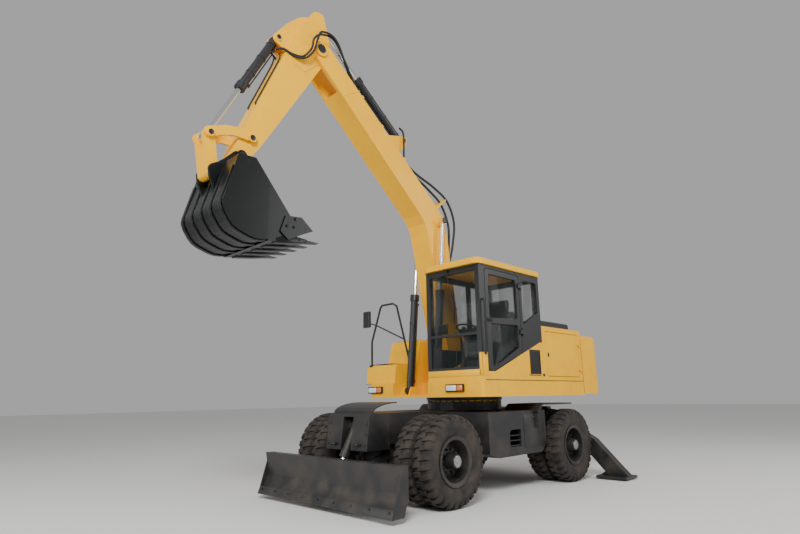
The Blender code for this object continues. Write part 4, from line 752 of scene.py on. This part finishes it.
for y, bend in ((-0.10, 0.10), (-0.04, 0.16), (0.02, 0.12), (0.07, 0.18)):
    line = [
        (0.05 + SLEW_X - bend, BOOM_Y + y, 1.50),
        (-0.02 + SLEW_X - bend, BOOM_Y + y, 1.80),
        (0.02 + SLEW_X - bend * 0.5, BOOM_Y + y, 2.08),
        above(0.44, y * 1.2),
    ]
    foot_hoses.append(tube("foot_hose", line, 0.018))
foot_hoses = together("foot_hoses", foot_hoses)
settle(foot_hoses, None, rubber_black)
tuple(on_boom(0.40, 0.42))
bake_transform(foot_hoses)

# ---------------------------------------------------------------- cylinder fittings
# Each barrel of the working arm carries a gland nut, a weld ring, two ports and a steel pipe between them,
# held by two bands.
def cylinder_fittings(name, body, start, end, barrel, radius, y_offsets, lift):
    """Gland nuts, ports and a side pipe for barrels that run from start towards end."""
    start, end = Vector(start), Vector(end)
    along = (end - start).normalized()
    out = along.cross(Vector((0, 1, 0))).normalized() * lift
    parts = []
    for y in y_offsets:
        base = start + Vector((0, y, 0))
        gland = base + along * barrel
        under = radius - 0.003
        parts.append(collar("gland", gland - along * 0.085, gland + along * 0.004, under, radius + 0.014, 16))
        parts.append(collar("weld", base + along * 0.115, base + along * 0.130, under, radius + 0.006, 28))
        for near in (0.15, barrel - 0.13):
            port = base + along * near
            parts.append(rod("port", port + out * (radius - 0.004),
                             port + out * (radius + 0.030), 0.022, 16, edge=0.003))
        side = out * (radius + 0.020)
        line = [base + along * way + side for way in (0.20, 0.26, barrel - 0.22)]
        line.append(base + along * (barrel - 0.13) + side * 0.9)
        parts.append(tube("side_pipe", line, 0.009))
        for way in (barrel * 0.40, barrel * 0.70):
            parts.append(collar("band", base + along * (way - 0.012),
                                base + along * (way + 0.012), under, radius + 0.005))
    settle(together(name, parts), body, satin_black)


cylinder_fittings("boom_cylinder_fittings", "boom_cylinder_barrels", (0.78 + SLEW_X, BOOM_Y, 1.34),
                  on_boom(1.95, 0.89), 1.46, 0.056, (-0.262, 0.262), 1)
cylinder_fittings("arm_cylinder_fittings", "arm_cylinder_barrel", on_boom(3.32, 0.98),
                  on_arm(-0.494, 0.225), 1.14, 0.062, (0,), -1)
cylinder_fittings("bucket_cylinder_fittings", "bucket_cylinder_barrel", on_arm(0.36, 0.50),
                  on_arm(2.22, 0.42), 1.00, 0.056, (0,), -1)

# ---------------------------------------------------------------- engine house
# Each service door has a latch and the right one louvres, the lid has louvres and a grab handle, and the
# steel exhaust stands behind it. Black sheet lies on the tank and the tool box, and dark lines mark seams.
for s, word in ((1, "left"), (-1, "right")):
    parts = []
    if word == "right":
        for k in range(7):
            z = 1.66 + 0.05 * k
            parts.append(block("louvre", (-1.40 + SLEW_X, -1.167, z), (-1.12 + SLEW_X, -1.158, z + 0.018), 0.003))
    lo, hi = sorted((s * 1.158, s * 1.166))
    parts.append(block("latch", (-0.61 + SLEW_X, lo, 1.80), (-0.57 + SLEW_X, hi, 1.86), 0.003))
    settle(together(f"service_door_fittings_{word}", parts), f"service_door_{word}", satin_black)
lid_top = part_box("engine_lid")[1][2]
lid_parts = []
for k in range(10):
    x = -1.38 + 0.075 * k + SLEW_X
    lid_parts.append(block("louvre", (x, -0.60, lid_top - 0.003), (x + 0.03, 0.85, lid_top + 0.010), 0.004))
foot, reach = x + 0.06, x + 0.08
bends = [(foot, -0.10, lid_top - 0.005), (reach, -0.10, lid_top + 0.04), (reach, 0.14, lid_top + 0.04),
         (foot, 0.14, lid_top - 0.005)]
lid_parts.append(tube("lid_handle", bends, 0.008))
settle(together("engine_lid_fittings", lid_parts), "engine_lid", satin_black)
tail_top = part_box("counterweight")[1][2]
x, y = -1.72 + SLEW_X, -0.45
stack = [rod("stack", (x, y, tail_top - 0.01), (x, y, tail_top + 0.20), 0.045, 28, edge=0.004),
         rod("collar", (x, y, tail_top - 0.01), (x, y, tail_top + 0.015), 0.070, 28, edge=0.004)]
settle(together("exhaust", stack), "upper", bare_steel)
mats = [block("tank_mat", (-0.38 + SLEW_X, -1.08, 2.128), (0.36 + SLEW_X, -0.55, 2.136), 0.002),
        block("box_mat", (0.56 + SLEW_X, -1.06, 1.742), (0.90 + SLEW_X, -0.66, 1.750), 0.002),
        rod("filler", (0.10 + SLEW_X, -0.98, 2.13), (0.10 + SLEW_X, -0.98, 2.175), 0.055, 24, edge=0.006)]
settle(together("walkway_mats", mats), "upper", rubber_black)
seams = []
for low, high in ((-1.162, -1.155), (1.155, 1.162)):
    seams.append(block("skirt_seam", (-1.60 + SLEW_X, low, 1.446), (0.98 + SLEW_X, high, 1.456), 0.001))
    seams.append(block("tail_seam", (-1.605 + SLEW_X, low, 1.27), (-1.597 + SLEW_X, high, 2.12), 0.001))
for y in (-0.9, 0.9):
    seams.append(rod("plug", (-1.95 + SLEW_X, y, tail_top - 0.006), (-1.95 + SLEW_X, y, tail_top + 0.008), 0.04, 20))
settle(together("body_seams", seams), "upper", rubber_black)

# ---------------------------------------------------------------- mirror
# Silvered glass, 5 mm thick, on the face of the black shell that the rail carries.
silvered = Finish("silvered_glass", (0.85, 0.87, 0.88), 0.04, metallic=1.0)
x, y = 0.93 + SLEW_X, -1.07
settle(block("mirror_glass", (x - 0.014, y - 0.168, 2.352),
             (x - 0.009, y - 0.042, 2.588), 0.001), "upper", silvered)

# ---------------------------------------------------------------- slewing ring
# A black steel ring lies round the foot of the deck, and the heads of 32 bolts stand on the turret below it.
ring_parts = []
for x, y in bolt_circle(32, 0.548):
    ring_parts.append(rod("ring_bolt", (SLEW_X + x, y, 1.168), (SLEW_X + x, y, 1.184), 0.012, 6, edge=0.001))
settle(together("turret_bolts", ring_parts), "chassis", road_black)
settle(collar("slewing_ring", (SLEW_X, 0, 1.188),
              (SLEW_X, 0, 1.236), 0.520, 0.572, 64), "upper", road_black)

# ---------------------------------------------------------------- chassis fittings
# Drive shafts with joints run from the gearbox to both axles. Steps have tread bars, the side boxes have
# lids with latches and an upright flap across them, and the front box has bolts and towing eyes.
AXLES, AXLE_HEIGHT = (1.68, -1.07), 0.52
under = []
for start, end in (((1.42, 0.54), (0.62, 0.62)), ((-0.82, 0.54), (-0.05, 0.62))):
    a = Vector((start[0] + SLEW_X, 0, start[1]))
    b = Vector((end[0] + SLEW_X, 0, end[1]))
    along = (b - a).normalized()
    under.append(rod("shaft", a, b, 0.038, 20))
    under.append(rod("flange", a, a + along * 0.03, 0.075, 20))
    under.append(rod("joint", a + along * 0.05, a + along * 0.12, 0.052, 12))
    under.append(rod("joint", b - along * 0.12, b - along * 0.05, 0.052, 12))
under.append(block("gearbox", (-0.08 + SLEW_X, -0.16, 0.52), (0.66 + SLEW_X, 0.16, 0.70), 0.03, 3))
settle(together("drive_shafts", under), "chassis", road_black)
boxes = []
for s in (-1, 1):
    for z in (0.60, 0.665, 0.73):
        lo, hi = sorted((s * 0.90, s * 1.075))
        boxes.append(block("tread_bar", (0.145 + SLEW_X, lo, z - 0.012), (0.395 + SLEW_X, hi, z), 0.003))
    lo, hi = sorted((s * 1.078, s * 1.086))
    boxes.append(block("locker_lid", (-0.44 + SLEW_X, lo, 0.55), (0.06 + SLEW_X, hi, 0.99), 0.006))
    lo, hi = sorted((s * 1.078, s * 1.096))
    boxes.append(block("locker_latch", (-0.22 + SLEW_X, lo, 0.93), (-0.14 + SLEW_X, hi, 0.965), 0.004))
    lo, hi = sorted((s * 0.66, s * 1.14))
    boxes.append(block("mud_flap", (-0.235 + SLEW_X, lo, 0.80), (-0.229 + SLEW_X, hi, 1.04), 0.002))
settle(together("side_box_fittings", boxes), "chassis", road_black)
nose = []
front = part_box("front_box")[1][0]
for s in (-1, 1):
    for z in (0.70, 0.82, 0.94):
        nose.append(rod("bolt", (front - 0.05, s * 0.35, z),
                        (front + 0.004 - (z - 0.66) * 0.12, s * 0.35, z), 0.015, 6))
    bends = ((-0.03, -0.05), (0.035, -0.03), (0.05, 0.0), (0.035, 0.03), (-0.03, 0.05))
    nose.append(tube("towing_eye", [(front + out, s * 0.22 + y, 0.70) for out, y in bends], 0.014))
settle(together("front_box_fittings", nose), "chassis", road_black)
axle_bits = []
for axle in AXLES:
    for s in (-1, 1):
        for dx, dz in bolt_circle(8, 0.125):
            x, z = axle + SLEW_X + dx, AXLE_HEIGHT + dz
            axle_bits.append(rod("bolt", (x, s * 0.19, z), (x, s * 0.215, z), 0.013, 6))
settle(together("axle_bolts", axle_bits), "chassis", road_black)
for word, s in (("left", 1), ("right", -1)):
    ring = []
    for dx, dz in bolt_circle(8, 0.072):
        x, z = AXLES[0] + SLEW_X + dx, AXLE_HEIGHT + dz
        ring.append(rod("bolt", (x, s * 0.625, z), (x, s * 0.642, z), 0.010, 6))
    settle(together(f"knuckle_bolts_{word}", ring), f"knuckle_{word}", road_black)

# ---------------------------------------------------------------- blade fittings
# A bolted wear edge runs along the blade's foot, and ribs stiffen its back.
edge_x = 2.64 + SLEW_X
wear = [(edge_x + 0.092, 0.150), (edge_x + 0.128, 0.056), (edge_x + 0.108, 0.052), (edge_x + 0.078, 0.146)]
rib = [(edge_x - 0.155, 0.50), (edge_x - 0.08, 0.53), (edge_x - 0.03, 0.12), (edge_x - 0.10, 0.22)]
edge_parts = [plate("wear_edge", wear, -1.265, 1.265, 0.002)]
for k in range(9):
    y = (k - 4) * 0.30
    edge_parts.append(rod("bolt", (edge_x + 0.085, y, 0.112), (edge_x + 0.116, y, 0.122), 0.014, 6))
for y in (-0.85, -0.50, 0.50, 0.85):
    edge_parts.append(plate("rib", rib, y - 0.008, y + 0.008, 0.002))
settle(together("blade_fittings", edge_parts), "blade", road_black)

# ---------------------------------------------------------------- outrigger fittings
# Round black heads on the pins that carry each leg and the foot of its cylinder.
for word, s in (("left", 1), ("right", -1)):
    parts = []
    for e in (-1, 1):
        x = -1.70 + SLEW_X + e * 0.130
        parts.append(rod("pin_head", (x - e * 0.004, s * 0.46, 0.74), (x + e * 0.014, s * 0.46, 0.74), 0.045, 20))
        parts.append(rod("pin_head", (x - e * 0.004, s * 0.16, 0.99), (x + e * 0.012, s * 0.16, 0.99), 0.032, 20))
    settle(together(f"outrigger_pins_{word}", parts), "chassis", road_black)

# ---------------------------------------------------------------- floor and light
# Plain pale floor, a broad soft key light from the front left, and weaker ones from the rear left and the
# front right.
bpy.ops.object.select_all(action="DESELECT")
bpy.ops.mesh.primitive_plane_add(size=120, location=(0, 0, 0))
ground = placed("ground")
pale = Finish("pale_floor", (0.80, 0.80, 0.79), 0.9)
ground.data.materials.append(pale.material)
world = bpy.data.worlds.new("studio")
world.use_nodes = True
world.node_tree.nodes["Background"].inputs["Color"].default_value = (1.0, 1.0, 1.0, 1.0)
world.node_tree.nodes["Background"].inputs["Strength"].default_value = 0.42
bpy.context.scene.world = world
for name, place, aim, size, power in (
    ("key", (9.0, 7.5, 9.5), (0.0, 0.0, 2.0), 4.0, 1650.0),
    ("side", (-6.0, 9.0, 6.0), (-0.5, 0.0, 1.8), 6.0, 350.0),
    ("front", (11.0, -3.0, 4.0), (0.5, 0.0, 2.0), 5.0, 250.0),
):
    lamp = bpy.data.lights.new(name, "AREA")
    lamp.size, lamp.energy = size, power
    holder = bpy.data.objects.new(name, lamp)
    bpy.context.scene.collection.objects.link(holder)
    holder.location = place
    holder.rotation_euler = (Vector(aim) - Vector(place)).to_track_quat("-Z", "Y").to_euler()
